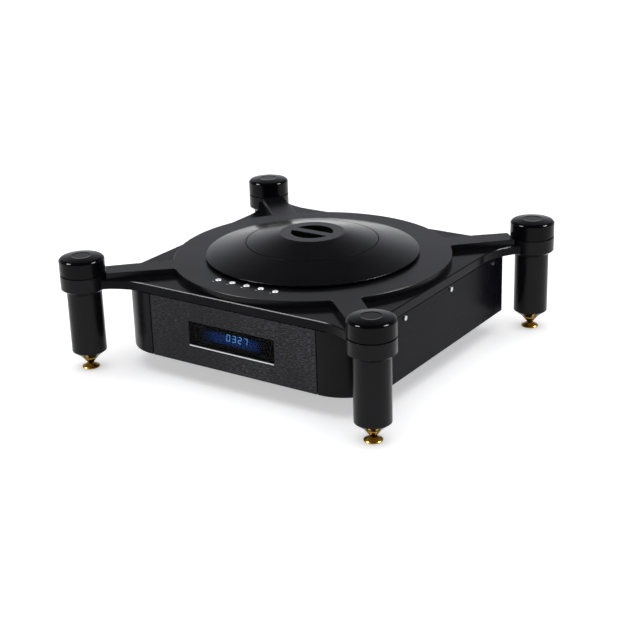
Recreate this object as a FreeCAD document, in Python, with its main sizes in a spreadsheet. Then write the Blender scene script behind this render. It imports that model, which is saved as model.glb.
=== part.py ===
import FreeCAD, Part
import Sketcher
import math
import os

# Top-loading valve disc player on four pillars. Millimetres, +Z up, front faces -Y.
# The origin is on the floor, under the middle of the four pillars.

doc = FreeCAD.newDocument("disc_player")
sheet = doc.addObject("Spreadsheet::Sheet", "Sizes")
nodes = []


class Size:
    """A length with its value now and the sheet expression that gives it."""

    def __init__(self, value, text):
        self.value = value
        self.text = text

    def __add__(self, other):
        return joined(self, other, "+", self.value + number(other))

    def __radd__(self, other):
        return joined(other, self, "+", number(other) + self.value)

    def __sub__(self, other):
        return joined(self, other, "-", self.value - number(other))

    def __rsub__(self, other):
        return joined(other, self, "-", number(other) - self.value)

    def __mul__(self, other):
        return joined(self, other, "*", self.value * number(other))

    def __rmul__(self, other):
        return joined(other, self, "*", number(other) * self.value)

    def __truediv__(self, other):
        return joined(self, other, "/", self.value / number(other))

    def __neg__(self):
        return joined(-1, self, "*", -self.value)


def number(item):
    return item.value if isinstance(item, Size) else float(item)


def wording(item):
    return item.text if isinstance(item, Size) else repr(float(item))


def joined(left, right, sign, value):
    return Size(value, f"({wording(left)} {sign} {wording(right)})")


def size(alias, value):
    """Writes one driving dimension to the sheet and returns it."""
    row = size.row = getattr(size, "row", 0) + 1
    sheet.set(f"A{row}", alias)
    sheet.set(f"B{row}", str(value))
    sheet.setAlias(f"B{row}", alias)
    return Size(float(value), f"Sizes.{alias}")


def root(item):
    return Size(math.sqrt(item.value), f"sqrt({item.text})")


def bind(thing, name, item):
    """Ties one property to the sheet, or sets it where it is a plain count or angle."""
    if isinstance(item, Size):
        thing.setExpression(name, item.text)
    elif name.startswith("Placement.Base."):
        setattr(thing.Placement.Base, name[-1], float(item))
    else:
        setattr(thing, name, float(item))


def put(thing, x, y, z, rotation=None):
    base = FreeCAD.Vector(number(x), number(y), number(z))
    thing.Placement = FreeCAD.Placement(base, rotation or FreeCAD.Rotation())
    for name, item in (("x", x), ("y", y), ("z", z)):
        if isinstance(item, Size):
            bind(thing, f"Placement.Base.{name}", item)
    return thing


TURNS = {
    "Z": FreeCAD.Rotation(),
    "X": FreeCAD.Rotation(FreeCAD.Vector(0, 1, 0), 90),
    "Y": FreeCAD.Rotation(FreeCAD.Vector(1, 0, 0), -90),
}


def cylinder(radius, height, x=0, y=0, z=0, along="Z"):
    """A round bar that starts at x, y, z and runs along the named axis."""
    thing = doc.addObject("Part::Cylinder", "round_bar")
    bind(thing, "Radius", radius)
    bind(thing, "Height", height)
    return put(thing, x, y, z, TURNS[along])


def box(x_low, x_high, y_low, y_high, z_low, z_high):
    thing = doc.addObject("Part::Box", "block")
    bind(thing, "Length", x_high - x_low)
    bind(thing, "Width", y_high - y_low)
    bind(thing, "Height", z_high - z_low)
    return put(thing, x_low, y_low, z_low)


def fuse(*things):
    thing = doc.addObject("Part::MultiFuse", "joined")
    thing.Shapes = list(things)
    return thing


def cut(base, *tools):
    thing = doc.addObject("Part::Cut", "cut")
    thing.Base = base
    thing.Tool = tools[0] if len(tools) == 1 else fuse(*tools)
    return thing


def group(*things):
    thing = doc.addObject("Part::Compound", "group")
    thing.Links = list(things)
    return thing


def node(label, thing):
    """Names a finished sub-part; its label is its file's name."""
    thing.Label = label
    nodes.append(thing)
    return thing


def origin_plane(body, role):
    return next(item for item in body.Origin.OriginFeatures if item.Role == role)


def arc_between(start, end, radius):
    """The arc of that radius from start to end that bulges to the right of the way there."""
    way = end - start
    half = way.Length / 2
    across = FreeCAD.Vector(way.y, -way.x, 0).normalize()
    rise = radius - math.sqrt(radius * radius - half * half)
    return Part.Arc(start, (start + end) * 0.5 + across * rise, end)


def outline(body, plane, points, arcs=None):
    """A closed sketch with each corner tied to the sheet. Sides are straight unless arcs
    gives the number of a side's first corner and the radius that it bulges outwards with."""
    arcs = arcs or {}
    sketch = body.newObject("Sketcher::SketchObject", "outline")
    sketch.AttachmentSupport = (origin_plane(body, plane), [""])
    sketch.MapMode = "FlatFace"
    spots = [FreeCAD.Vector(number(a), number(b), 0) for a, b in points]
    count = len(spots)
    heads, tails = [], []
    for index, spot in enumerate(spots):
        goal = spots[(index + 1) % count]
        if index in arcs:
            side = sketch.addGeometry(arc_between(spot, goal, number(arcs[index])))
            forward = (sketch.Geometry[side].StartPoint - spot).Length < 1e-6
        else:
            side = sketch.addGeometry(Part.LineSegment(spot, goal))
            forward = True
        heads.append((side, 1 if forward else 2))
        tails.append((side, 2 if forward else 1))
    for index in range(count):
        after = heads[(index + 1) % count]
        sketch.addConstraint(Sketcher.Constraint("Coincident", *tails[index], *after))
    for index, radius in arcs.items():
        spot = sketch.addConstraint(Sketcher.Constraint("Radius", index, number(radius)))
        if isinstance(radius, Size):
            sketch.setExpression(f"Constraints[{spot}]", radius.text)
    axes = (("DistanceX", -2), ("DistanceY", -1))
    for index, point in enumerate(points):
        for (kind, axis), item in zip(axes, point):
            if number(item) == 0:
                sketch.addConstraint(Sketcher.Constraint("PointOnObject", *heads[index], axis))
                continue
            spot = sketch.addConstraint(
                Sketcher.Constraint(kind, -1, 1, *heads[index], number(item)))
            if isinstance(item, Size):
                sketch.setExpression(f"Constraints[{spot}]", item.text)
    return sketch


def turned(points, x=0, y=0, z=0, arcs=None):
    """A lathe part about its own Z axis from an outline of radius and height pairs."""
    body = doc.addObject("PartDesign::Body", "turned")
    sketch = outline(body, "XZ_Plane", points, arcs)
    spin = body.newObject("PartDesign::Revolution", "spin")
    spin.Profile = sketch
    spin.ReferenceAxis = (sketch, ["V_Axis"])
    spin.Angle = 360.0
    body.Tip = spin
    return put(body, x, y, z)


def prism(points, height, x=0, y=0, z=0):
    """A straight-sided plate from an outline in plan."""
    body = doc.addObject("PartDesign::Body", "prism")
    sketch = outline(body, "XY_Plane", points)
    pad = body.newObject("PartDesign::Pad", "pad")
    pad.Profile = sketch
    bind(pad, "Length", height)
    body.Tip = pad
    return put(body, x, y, z)


def round_corners(body, corners, radius):
    """Rounds the upright edges of a prism that stand at the named plan corners."""
    doc.recompute()
    chosen = []
    for index, edge in enumerate(body.Tip.Shape.Edges):
        low, high = edge.BoundBox.getPoint(0), edge.BoundBox.getPoint(6)
        upright = edge.BoundBox.ZLength > 0.5 and edge.BoundBox.XLength + edge.BoundBox.YLength < 0.01
        near = any(math.hypot(low.x - number(a), high.y - number(b)) < 0.05 for a, b in corners)
        if upright and near:
            chosen.append(f"Edge{index + 1}")
    if len(chosen) != len(corners):
        raise RuntimeError(f"{body.Label}: {len(chosen)} of {len(corners)} corners found")
    last = body.Tip
    fillet = body.newObject("PartDesign::Fillet", "rounding")
    fillet.Base = (last, chosen)
    bind(fillet, "Radius", radius)
    body.Tip = fillet
    return body


def bevel_top(body, width):
    """Chamfers all the edges round the top of a prism."""
    doc.recompute()
    top = body.Tip.Shape.BoundBox.ZMax
    chosen = []
    for index, edge in enumerate(body.Tip.Shape.Edges):
        if edge.BoundBox.ZMin > top - 0.01:
            chosen.append(f"Edge{index + 1}")
    last = body.Tip
    bevel = body.newObject("PartDesign::Chamfer", "bevel")
    bevel.Base = (last, chosen)
    bind(bevel, "Size", width)
    body.Tip = bevel
    return body


# Fits shared by the whole player.
SLIP = size("slip_gap", 0.05)
SEAT = size("seat_gap", 0.3)
EASY = size("easy_gap", 0.1)

# Pillars, caps and feet.
PITCH_X = size("pillar_pitch_x", 400)
PITCH_Y = size("pillar_pitch_y", 380)
PILLAR_R = size("pillar_radius", 20.8)
COLLAR_R = size("collar_radius", 27)
MOUTH_SPARE = size("slot_mouth_spare", 5)
PILLAR_LOW = size("pillar_low", 14)
PILLAR_NOSE_R = size("pillar_nose_radius", 9.5)
PILLAR_NOSE = size("pillar_nose_height", 9)
COLLAR_TAPER = size("collar_taper", 5)
COLLAR_UNDER = size("collar_under", 0.5)
COLLAR_OVER = size("collar_over", 5.5)
CAP_TALL = size("cap_height", 22.5)
CAP_GROOVE = size("cap_groove", 1.9)
CAP_GROOVE_DEEP = size("cap_groove_depth", 1.5)
CAP_SHOULDER = size("cap_shoulder", 4.5)
CAP_SHOULDER_DROP = size("cap_shoulder_drop", 3)
CAP_DOME = size("cap_dome", 1.4)
CAP_DISH_R = size("cap_dish_radius", 12)
CAP_DISH = size("cap_dish_depth", 0.3)
CAP_DISH_SLOPE = size("cap_dish_slope", 2.4)
BOLT_R = size("tie_bolt_radius", 5)
BOLT_HEAD_R = size("tie_bolt_head_radius", 8)
BOLT_HEAD = size("tie_bolt_head", 8)
BOLT_LONG = size("tie_bolt_length", 34)
STUD_R = size("spike_stud_radius", 4)
STUD_LONG = size("spike_stud_length", 20)
SPIKE_R = size("spike_radius", 9.2)
SPIKE_LIP = size("spike_lip", 1.2)
SPIKE_TIP_R = size("spike_tip_radius", 1)
SHOE_R = size("shoe_radius", 10.7)
SHOE_TALL = size("shoe_height", 5)
SHOE_RIM = size("shoe_rim", 2.3)
SHOE_EDGE = size("shoe_edge", 0.7)
DIMPLE_R = size("dimple_radius", 4.6)
DIMPLE_DEEP = size("dimple_depth", 1.7)

# Arm plate, top deck and lid.
PLATE_LOW = size("plate_low", 103.5)
PLATE_THICK = size("plate_thickness", 10.5)
PLATE_HALF_X = size("plate_half_width", 175.2)
PLATE_HALF_Y = size("plate_half_depth", 170.7)
ARM_HALF = size("arm_half_width", 17)
ARM_FILLET = size("arm_fillet", 80)
WELL_CLEAR_R = size("mechanism_opening_radius", 90)
DECK_THICK = size("deck_thickness", 7.5)
DECK_R = size("deck_radius", 168)
RIB_ROOT = size("rib_half_width_middle", 20)
RIB_END = size("rib_half_width_end", 14.2)
RIB_CORNER = size("rib_corner_radius", 3)
PLATE_EDGE = size("plate_edge_chamfer", 0.9)
DECK_EDGE = size("deck_edge_chamfer", 0.5)
BEZEL_GAP = size("bezel_gap", 2.6)
BEZEL_R = size("bezel_radius", 129)
BEZEL_RIM = size("bezel_rim", 1.2)
BEZEL_EDGE = size("bezel_edge", 0.5)
BEZEL_FOOT = size("bezel_foot_height", 1.5)
LEDGE_THICK = size("bezel_ledge_thickness", 2.2)
LEDGE_WALL = size("bezel_ledge_wall", 4)
LID_R = size("lid_radius", 79.5)
LID_SEAM = size("lid_seam", 0.9)
LID_RIM = size("lid_rim_thickness", 1.8)
POCKET_FLOOR = size("lid_pocket_floor", 2.8)
LID_RISE = size("lid_seam_height", 16.7)
LID_TOP = size("lid_top_height", 26.5)
LID_FLAT_R = size("lid_flat_radius", 39)
LID_SEAT_DEEP = size("lid_seat_depth", 4)
MOUTH_R = size("mouth_radius", 72)
SEAL_THICK = size("seal_thickness", 0.6)
SHELL = size("lid_wall", 3.8)
GRIP_R = size("grip_radius", 25.5)
GRIP_DEEP = size("grip_depth", 7.8)
GRIP_BAR = size("grip_bar_width", 11)
SPACER_R = size("spacer_radius", 4)
SPACER_AT = size("spacer_circle", 119)

# Disc well, spindle and clamp.
WELL_R = size("well_radius", 65.7)
WELL_WALL = size("well_wall", 1.5)
WELL_FLOOR = size("well_floor", 2)
WELL_DEEP = size("well_depth", 5.2)
WELL_FLANGE_R = size("well_flange_radius", 76)
WELL_HOLE_R = size("well_hole_radius", 17)
LENS_SLOT_HALF = size("lens_slot_half_width", 9)
LENS_SLOT_END = size("lens_slot_end", 64)
DISC_DROP = size("disc_plane_below_deck", 1.5)
HUB_R = size("hub_radius", 14.5)
HUB_THICK = size("hub_thickness", 3)
CENTRE_R = size("disc_centring_radius", 7.4)
CENTRE_TALL = size("disc_centring_height", 0.8)
CONE_TALL = size("centring_cone_height", 3)
SHAFT_R = size("spindle_shaft_radius", 1)
PUCK_UP = size("clamp_above_hub", 1)
PUCK_R = size("clamp_radius", 14.8)
PUCK_TALL = size("clamp_height", 9.7)
PUCK_FLANGE_R = size("clamp_flange_radius", 17.5)
PUCK_FLANGE = size("clamp_flange", 2.6)
CAGE_WALL = size("cage_wall", 3)

# Chassis.
BOX_HALF_X = size("chassis_half_width", 174.5)
BOX_FRONT = size("chassis_front", 170)
BOX_REAR = size("chassis_rear", 161)
BOX_LOW = size("chassis_low", 26)
TOP_SEAM = size("chassis_top_seam", 1.5)
FACE_HALF = size("front_panel_half_width", 115.6)
FACE_SEAM = size("front_panel_seam", 1.5)
FACE_THICK = size("front_panel_thickness", 10)
CHEEK_R = size("cheek_radius", 56)
SIDE_THICK = size("side_panel_thickness", 3)
COVER_THICK = size("bottom_cover_thickness", 2)
COVER_UP = size("bottom_cover_recess", 1)
POST = size("post_width", 12)
RAIL_WIDE = size("rail_width", 11)
RAIL_TALL = size("rail_height", 12)
RAIL_LONG = size("rail_half_length", 125)
SCREW_R = size("panel_screw_radius", 1.9)
SCREW_HEAD_R = size("panel_screw_head_radius", 2.9)
SCREW_HEAD = size("panel_screw_head", 1.6)
SCREW_LONG = size("panel_screw_length", 10)
SCREW_PITCH = size("panel_screw_pitch", 106)
SCREW_MID = size("panel_screw_middle", 27)
SCREW_DOWN = size("panel_screw_below_plate", 6.7)
STANDOFF_R = size("standoff_radius", 3)
STANDOFF = size("standoff_height", 6)
BOARD = size("board_thickness", 1.6)

# Display and buttons.
GLASS_HALF = size("window_half_width", 60)
GLASS_LOW = size("window_low", 51.2)
GLASS_TALL = size("window_height", 27.6)
GLASS_THICK = size("window_thickness", 3)
TRIM_LOW = size("trim_low", 49.0)
TRIM_TALL = size("trim_height", 1.2)
TRIM_DEEP = size("trim_depth", 1.2)
TRIM_PROUD = size("trim_proud", 0.4)
TUBE_HALF = size("display_tube_half_width", 52)
TUBE_TALL = size("display_tube_height", 18)
BUTTON_R = size("button_radius", 3.6)
BUTTON_UP = size("button_height", 1.5)
BUTTON_DOME = size("button_dome", 0.5)
BUTTON_EDGE = size("button_edge", 0.4)
BUTTON_TALL = size("button_length", 9.8)
BUTTON_STEM_R = size("button_stem_radius", 2)
FLANGE_OUT = size("button_flange_width", 1.3)
FLANGE_THICK = size("button_flange_thickness", 1.1)
FLANGE_ROOM = size("button_flange_room", 0.4)
FLANGE_UP = size("button_flange_height", 3.9)
BOARD_ROOM_X = size("button_board_room_side", 14)
BOARD_ROOM_Y = size("button_board_room_front", 11)
BUTTON_PITCH = size("button_pitch", 20)
BUTTON_Y = size("button_row", 135.5)
BUTTON_TRAVEL = size("button_travel", 0.8)
SWITCH = size("switch_width", 6)
SWITCH_TALL = size("switch_height", 4.3)

# Disc mechanism.
MECH_DOWN = size("mechanism_below_disc", 24)
MECH_THICK = size("mechanism_thickness", 2)
MECH_HALF_X = size("mechanism_half_width", 85)
MECH_HALF_Y = size("mechanism_half_depth", 70)
DAMPER_X = size("damper_x", 76)
DAMPER_Y = size("damper_y", 60)
DAMPER_R = size("damper_radius", 6)
ROD_R = size("rod_radius", 1.5)
ROD_X = size("rod_x", 24)
ROD_UP = size("rod_height", 8)
ROD_FRONT = size("rod_front", 80)
ROD_BACK = size("rod_back", 14)
TAB = size("rod_tab", 4)
SLED_UP = size("sled_height", 4)
SLED_TALL = size("sled_thickness", 9.8)
LENS_HOME = size("lens_home_radius", 23)
LENS_TRAVEL = size("lens_travel", 35)
LENS_R = size("lens_radius", 3)
MOTOR_R = size("spindle_motor_radius", 12.5)
MOTOR_TALL = size("spindle_motor_height", 14)
RACK_MODULE = size("rack_module", 0.8)
WHEEL_MODULE = size("wheel_module", 0.5)
GEAR_Y = size("sled_gear_y", 31)
GEAR_THICK = size("gear_thickness", 4)
SLED_MOTOR_R = size("sled_motor_radius", 10)
SLED_MOTOR_TALL = size("sled_motor_height", 20)
PINION_TEETH = 12
WHEEL_TEETH = 36
PRESSURE = math.radians(25)
MOTOR_BEARING = math.radians(40)

# Electronics and rear.
CORE_R = size("transformer_radius", 50)
CORE_HOLE_R = size("transformer_hole_radius", 18)
CORE_TALL = size("transformer_height", 44)
VALVE_R = size("valve_radius", 10.5)
VALVE_TALL = size("valve_height", 46)
VALVE_BASE_R = size("valve_socket_radius", 12)
VALVE_BASE = size("valve_socket_height", 12)
CAN_R = size("capacitor_radius", 11)
CAN_TALL = size("capacitor_height", 40)
INLET_Z = size("inlet_height", 68)
RCA_R = size("rca_barrel_radius", 4.15)
RCA_LONG = size("rca_barrel_length", 9)
RCA_FLANGE_R = size("rca_flange_radius", 6)
RCA_BODY_R = size("rca_body_radius", 4)
RCA_BORE_R = size("rca_bore_radius", 1.7)

# Heights and distances that follow from the sizes above.
PLATE_TOP = PLATE_LOW + PLATE_THICK
DECK_TOP = PLATE_TOP + DECK_THICK
PILLAR_TOP = PLATE_TOP + COLLAR_OVER
CAP_TOP = PILLAR_TOP + CAP_TALL
PILLAR_X = PITCH_X / 2
PILLAR_Y = PITCH_Y / 2
REACH = root(PILLAR_X * PILLAR_X + PILLAR_Y * PILLAR_Y)
WAY_X = PILLAR_X / REACH
WAY_Y = PILLAR_Y / REACH
SEAM_Z = DECK_TOP + LID_RISE
LID_TOP_Z = DECK_TOP + LID_TOP
LEDGE_Z = SEAM_Z - LID_SEAT_DEEP
DISC_Z = DECK_TOP - DISC_DROP
PANEL_TOP = PLATE_LOW - TOP_SEAM
COVER_TOP = BOX_LOW + COVER_UP + COVER_THICK
BOARD_LOW = COVER_TOP + STANDOFF
BOARD_TOP = BOARD_LOW + BOARD
MECH_LOW = DISC_Z - MECH_DOWN
MECH_TOP = MECH_LOW + MECH_THICK
QUARTERS = (("front_left", -1, -1), ("front_right", 1, -1), ("rear_left", -1, 1), ("rear_right", 1, 1))


# An arm widens toward the plate in an arc. A slot's mouth is wider by what the arm has gained there.
MOUTH_DEEP = COLLAR_R + MOUTH_SPARE
ARC_START = REACH - PLATE_HALF_Y * REACH / PILLAR_Y + ARM_HALF * PILLAR_X / PILLAR_Y
ARC_RUN = MOUTH_DEEP - ARC_START + ARM_FILLET * (REACH - PILLAR_X) / PILLAR_Y
ARM_FLARE = ARC_RUN * ARC_RUN / (ARM_FILLET * 2)


def pillar(sign_x, sign_y):
    """The turned column with its collar, slotted for the arm and drilled at both ends.
    The slot's mouth tapers outwards as the arm does."""
    low = PILLAR_LOW
    column = turned([
        (STUD_R + SLIP, low),
        (PILLAR_NOSE_R, low),
        (PILLAR_R, low + PILLAR_NOSE),
        (PILLAR_R, PLATE_LOW - COLLAR_UNDER - COLLAR_TAPER),
        (COLLAR_R, PLATE_LOW - COLLAR_UNDER),
        (COLLAR_R, PILLAR_TOP),
        (BOLT_R + SLIP, PILLAR_TOP),
        (BOLT_R + SLIP, PILLAR_TOP - BOLT_LONG - 1),
        (0, PILLAR_TOP - BOLT_LONG - 1),
        (0, low + STUD_LONG + 1),
        (STUD_R + SLIP, low + STUD_LONG + 1),
    ], sign_x * PILLAR_X, sign_y * PILLAR_Y)
    slot_half = ARM_HALF + EASY
    tip = cylinder(slot_half, PLATE_THICK, sign_x * PILLAR_X, sign_y * PILLAR_Y, PLATE_LOW)
    mouth = []
    for side, inward, half in ((1, 0, slot_half), (1, MOUTH_DEEP, slot_half + ARM_FLARE),
                               (-1, MOUTH_DEEP, slot_half + ARM_FLARE), (-1, 0, slot_half)):
        x = PILLAR_X - WAY_X * inward - WAY_Y * half * side
        y = PILLAR_Y - WAY_Y * inward + WAY_X * half * side
        mouth.append((x * sign_x, y * sign_y))
    return cut(column, tip, prism(mouth, PLATE_THICK, 0, 0, PLATE_LOW))


def pillar_cap(sign_x, sign_y):
    """The turned cap over the tie bolt's head, on a narrow neck that leaves a groove.
    Its top is a little domed, with a rounded shoulder and a shallow dish in the middle."""
    neck = COLLAR_R - CAP_GROOVE_DEEP
    rim = CAP_TOP - CAP_DOME
    return turned([
        (BOLT_HEAD_R + SLIP, PILLAR_TOP),
        (neck, PILLAR_TOP),
        (neck, PILLAR_TOP + CAP_GROOVE),
        (COLLAR_R, PILLAR_TOP + CAP_GROOVE),
        (COLLAR_R, rim - CAP_SHOULDER_DROP),
        (COLLAR_R - CAP_SHOULDER, rim),
        (CAP_DISH_R, CAP_TOP),
        (CAP_DISH_R - CAP_DISH_SLOPE, CAP_TOP - CAP_DISH),
        (0, CAP_TOP - CAP_DISH),
        (0, PILLAR_TOP + BOLT_HEAD + SEAT),
        (BOLT_HEAD_R + SLIP, PILLAR_TOP + BOLT_HEAD + SEAT),
    ], sign_x * PILLAR_X, sign_y * PILLAR_Y,
        arcs={4: CAP_SHOULDER * 1.15, 5: CAP_SHOULDER * 25})


def tie_bolt(sign_x, sign_y):
    """The bolt that clamps the arm in the pillar's slot."""
    return turned([
        (0, PILLAR_TOP - BOLT_LONG),
        (BOLT_R, PILLAR_TOP - BOLT_LONG),
        (BOLT_R, PILLAR_TOP),
        (BOLT_HEAD_R, PILLAR_TOP),
        (BOLT_HEAD_R, PILLAR_TOP + BOLT_HEAD),
        (0, PILLAR_TOP + BOLT_HEAD),
    ], sign_x * PILLAR_X, sign_y * PILLAR_Y)


def foot_spike(sign_x, sign_y):
    tip = SHOE_TALL - DIMPLE_DEEP
    return turned([
        (0, PILLAR_LOW + STUD_LONG),
        (STUD_R, PILLAR_LOW + STUD_LONG),
        (STUD_R, PILLAR_LOW),
        (SPIKE_R, PILLAR_LOW),
        (SPIKE_R, PILLAR_LOW - SPIKE_LIP),
        (SPIKE_TIP_R, tip),
        (0, tip),
    ], sign_x * PILLAR_X, sign_y * PILLAR_Y)


def floor_shoe(sign_x, sign_y):
    """The disc that each spike stands in: a thin rim that rises to a dimple in the middle."""
    return turned([
        (0, 0),
        (SHOE_R - SHOE_EDGE, 0),
        (SHOE_R, SHOE_EDGE),
        (SHOE_R, SHOE_RIM - SHOE_EDGE),
        (SHOE_R - SHOE_EDGE, SHOE_RIM),
        (DIMPLE_R, SHOE_TALL),
        (SPIKE_TIP_R * 1.6, SHOE_TALL - DIMPLE_DEEP),
        (0, SHOE_TALL - DIMPLE_DEEP),
    ], sign_x * PILLAR_X, sign_y * PILLAR_Y)


def around(corners):
    """Mirrors the corners of the first quarter round the plan, anticlockwise."""
    turned_back = list(reversed(corners))
    loop = list(corners)
    loop += [(-a, b) for a, b in turned_back]
    loop += [(-a, -b) for a, b in corners]
    loop += [(a, -b) for a, b in turned_back]
    return loop


def arm_plate():
    """The lower plate: a rectangle that sweeps out into four arms to the pillars."""
    half_x, half_y = PLATE_HALF_X, PLATE_HALF_Y
    side_corner = (half_x, half_x * PILLAR_Y / PILLAR_X - ARM_HALF * REACH / PILLAR_X)
    front_corner = (half_y * PILLAR_X / PILLAR_Y - ARM_HALF * REACH / PILLAR_Y, half_y)
    corners = [
        side_corner,
        (PILLAR_X + ARM_HALF * WAY_Y, PILLAR_Y - ARM_HALF * WAY_X),
        (PILLAR_X - ARM_HALF * WAY_Y, PILLAR_Y + ARM_HALF * WAY_X),
        front_corner,
    ]
    plate = prism(around(corners), PLATE_THICK, 0, 0, PLATE_LOW)
    inner = [(a * p[0], b * p[1]) for p in (side_corner, front_corner) for a in (1, -1) for b in (1, -1)]
    round_corners(plate, inner, ARM_FILLET)
    bevel_top(plate, PLATE_EDGE)
    tips = []
    holes = [cylinder(WELL_CLEAR_R, PLATE_THICK, 0, 0, PLATE_LOW)]
    for _, sign_x, sign_y in QUARTERS:
        x, y = sign_x * PILLAR_X, sign_y * PILLAR_Y
        tips.append(cylinder(ARM_HALF, PLATE_THICK, x, y, PLATE_LOW))
        holes.append(cylinder(BOLT_R + SEAT, PLATE_THICK, x, y, PLATE_LOW))
    board_half = BUTTON_PITCH * 2 + BOARD_ROOM_X
    holes.append(box(-board_half, board_half, -BUTTON_Y - BOARD_ROOM_Y, -BUTTON_Y + BOARD_ROOM_Y,
                     PLATE_LOW, PLATE_TOP))
    return cut(fuse(plate, *tips), *holes)


def top_deck():
    """The upper plate: a disc with a rib to each pillar, holed for the well and the buttons."""
    end = REACH - COLLAR_R - EASY
    corners = [
        (end * WAY_X + RIB_END * WAY_Y, end * WAY_Y - RIB_END * WAY_X),
        (end * WAY_X - RIB_END * WAY_Y, end * WAY_Y + RIB_END * WAY_X),
    ]
    start_x, start_y = RIB_ROOT / WAY_Y, RIB_ROOT / WAY_X
    tips = around(corners)
    star = []
    gates = [(start_x, 0), (0, start_y), (-start_x, 0), (0, -start_y)]
    for index, gate in enumerate(gates):
        star += [gate, tips[2 * index], tips[2 * index + 1]]
    ribs = prism(star, DECK_THICK, 0, 0, PLATE_TOP)
    disc = cylinder(DECK_R, DECK_THICK, 0, 0, PLATE_TOP)
    holes = [cylinder(WELL_R + WELL_WALL + SEAT, DECK_THICK, 0, 0, PLATE_TOP)]
    for spot in range(-2, 3):
        x = BUTTON_PITCH * spot
        holes.append(cylinder(BUTTON_R + SEAT, DECK_THICK, x, -BUTTON_Y, PLATE_TOP))
        holes.append(cylinder(BUTTON_R + FLANGE_OUT + FLANGE_ROOM, FLANGE_UP, x, -BUTTON_Y, PLATE_TOP))
    plain = cut(fuse(disc, ribs), *holes)
    doc.recompute()
    edges = []
    for index, edge in enumerate(plain.Shape.Edges):
        bounds = edge.BoundBox
        spot = math.hypot(bounds.Center.x, bounds.Center.y)
        straight = bounds.XLength + bounds.YLength < 0.01 and bounds.ZLength > 5
        if straight and abs(spot - DECK_R.value) < 1:
            edges.append((index + 1, RIB_CORNER.value, RIB_CORNER.value))
    if len(edges) != 8:
        raise RuntimeError(f"top_deck: {len(edges)} of 8 rib corners found")
    rounded = doc.addObject("Part::Fillet", "deck_rounding")
    rounded.Base = plain
    rounded.Edges = edges
    doc.recompute()
    top = DECK_TOP.value
    rim = []
    for index, edge in enumerate(rounded.Shape.Edges):
        spots = edge.discretize(5)
        level = all(abs(spot.z - top) < 0.01 for spot in spots)
        if level and all(math.hypot(spot.x, spot.y) > DECK_R.value - 15 for spot in spots):
            rim.append((index + 1, DECK_EDGE.value, DECK_EDGE.value))
    bevelled = doc.addObject("Part::Chamfer", "deck_bevel")
    bevelled.Base = rounded
    bevelled.Edges = rim
    return bevelled


def lid_bezel():
    """The fixed outer cone round the lid, with the ledge that the lid's seal lies on."""
    bore = LID_R + LID_SEAM
    low = DECK_TOP + BEZEL_GAP
    foot = SPACER_AT - SPACER_R - 1
    return turned([
        (bore, SEAM_Z),
        (bore, LEDGE_Z),
        (MOUTH_R, LEDGE_Z),
        (MOUTH_R, LEDGE_Z - LEDGE_THICK),
        (bore + LEDGE_WALL, LEDGE_Z - LEDGE_THICK),
        (foot, low + BEZEL_FOOT),
        (foot, low),
        (BEZEL_R - BEZEL_EDGE, low),
        (BEZEL_R, low + BEZEL_EDGE),
        (BEZEL_R, low + BEZEL_RIM),
    ])


def bezel_spacers():
    items = []
    for index in range(6):
        angle = math.radians(30 + 60 * index)
        x, y = SPACER_AT * math.cos(angle), SPACER_AT * math.sin(angle)
        items.append(cylinder(SPACER_R, BEZEL_GAP, x, y, DECK_TOP))
    return group(*items)


def lid():
    """The lift-off lid: a shallow cone with two finger pockets either side of a grip bar."""
    rim_low = LEDGE_Z + SEAL_THICK
    pocket_floor = LID_TOP_Z - GRIP_DEEP
    shell = turned([
        (0, LID_TOP_Z),
        (LID_FLAT_R, LID_TOP_Z),
        (LID_R, SEAM_Z),
        (LID_R, rim_low),
        (MOUTH_R, rim_low),
        (MOUTH_R, rim_low + LID_RIM),
        (LID_FLAT_R - 1, LID_TOP_Z - SHELL),
        (GRIP_R + 3, LID_TOP_Z - SHELL),
        (GRIP_R + 3, pocket_floor - POCKET_FLOOR),
        (0, pocket_floor - POCKET_FLOOR),
    ])
    pocket = cylinder(GRIP_R, GRIP_DEEP + 1, 0, 0, pocket_floor)
    grip = box(-GRIP_R - 1, GRIP_R + 1, -GRIP_BAR / 2, GRIP_BAR / 2, pocket_floor - 1, LID_TOP_Z + 2)
    return cut(shell, cut(pocket, grip))


def ring(inner, outer, low, high):
    return turned([(inner, low), (outer, low), (outer, high), (inner, high)])


CAGE_R = PUCK_FLANGE_R + 1
CAGE_LIP = 1.6
CAGE_LOW = DISC_Z + PUCK_UP + PUCK_TALL - PUCK_FLANGE - SEAT - CAGE_LIP
LID_FLOOR = LID_TOP_Z - GRIP_DEEP - POCKET_FLOOR


def clamp_cage():
    """The cup under the lid that carries the clamp by its flange."""
    return turned([
        (PUCK_R + 0.8, CAGE_LOW),
        (CAGE_R + CAGE_WALL, CAGE_LOW),
        (CAGE_R + CAGE_WALL, LID_FLOOR),
        (CAGE_R, LID_FLOOR),
        (CAGE_R, CAGE_LOW + CAGE_LIP),
        (PUCK_R + 0.8, CAGE_LOW + CAGE_LIP),
    ])


def clamp_puck():
    """The magnetic clamp that turns with the disc."""
    low = DISC_Z + PUCK_UP
    high = low + PUCK_TALL
    recess = CENTRE_TALL + CONE_TALL + 0.4 - PUCK_UP
    return turned([
        (0, low + recess),
        (CENTRE_R + 0.8, low + recess),
        (CENTRE_R + 0.8, low),
        (PUCK_R, low),
        (PUCK_R, high - PUCK_FLANGE),
        (PUCK_FLANGE_R, high - PUCK_FLANGE),
        (PUCK_FLANGE_R, high),
        (0, high),
    ])


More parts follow.
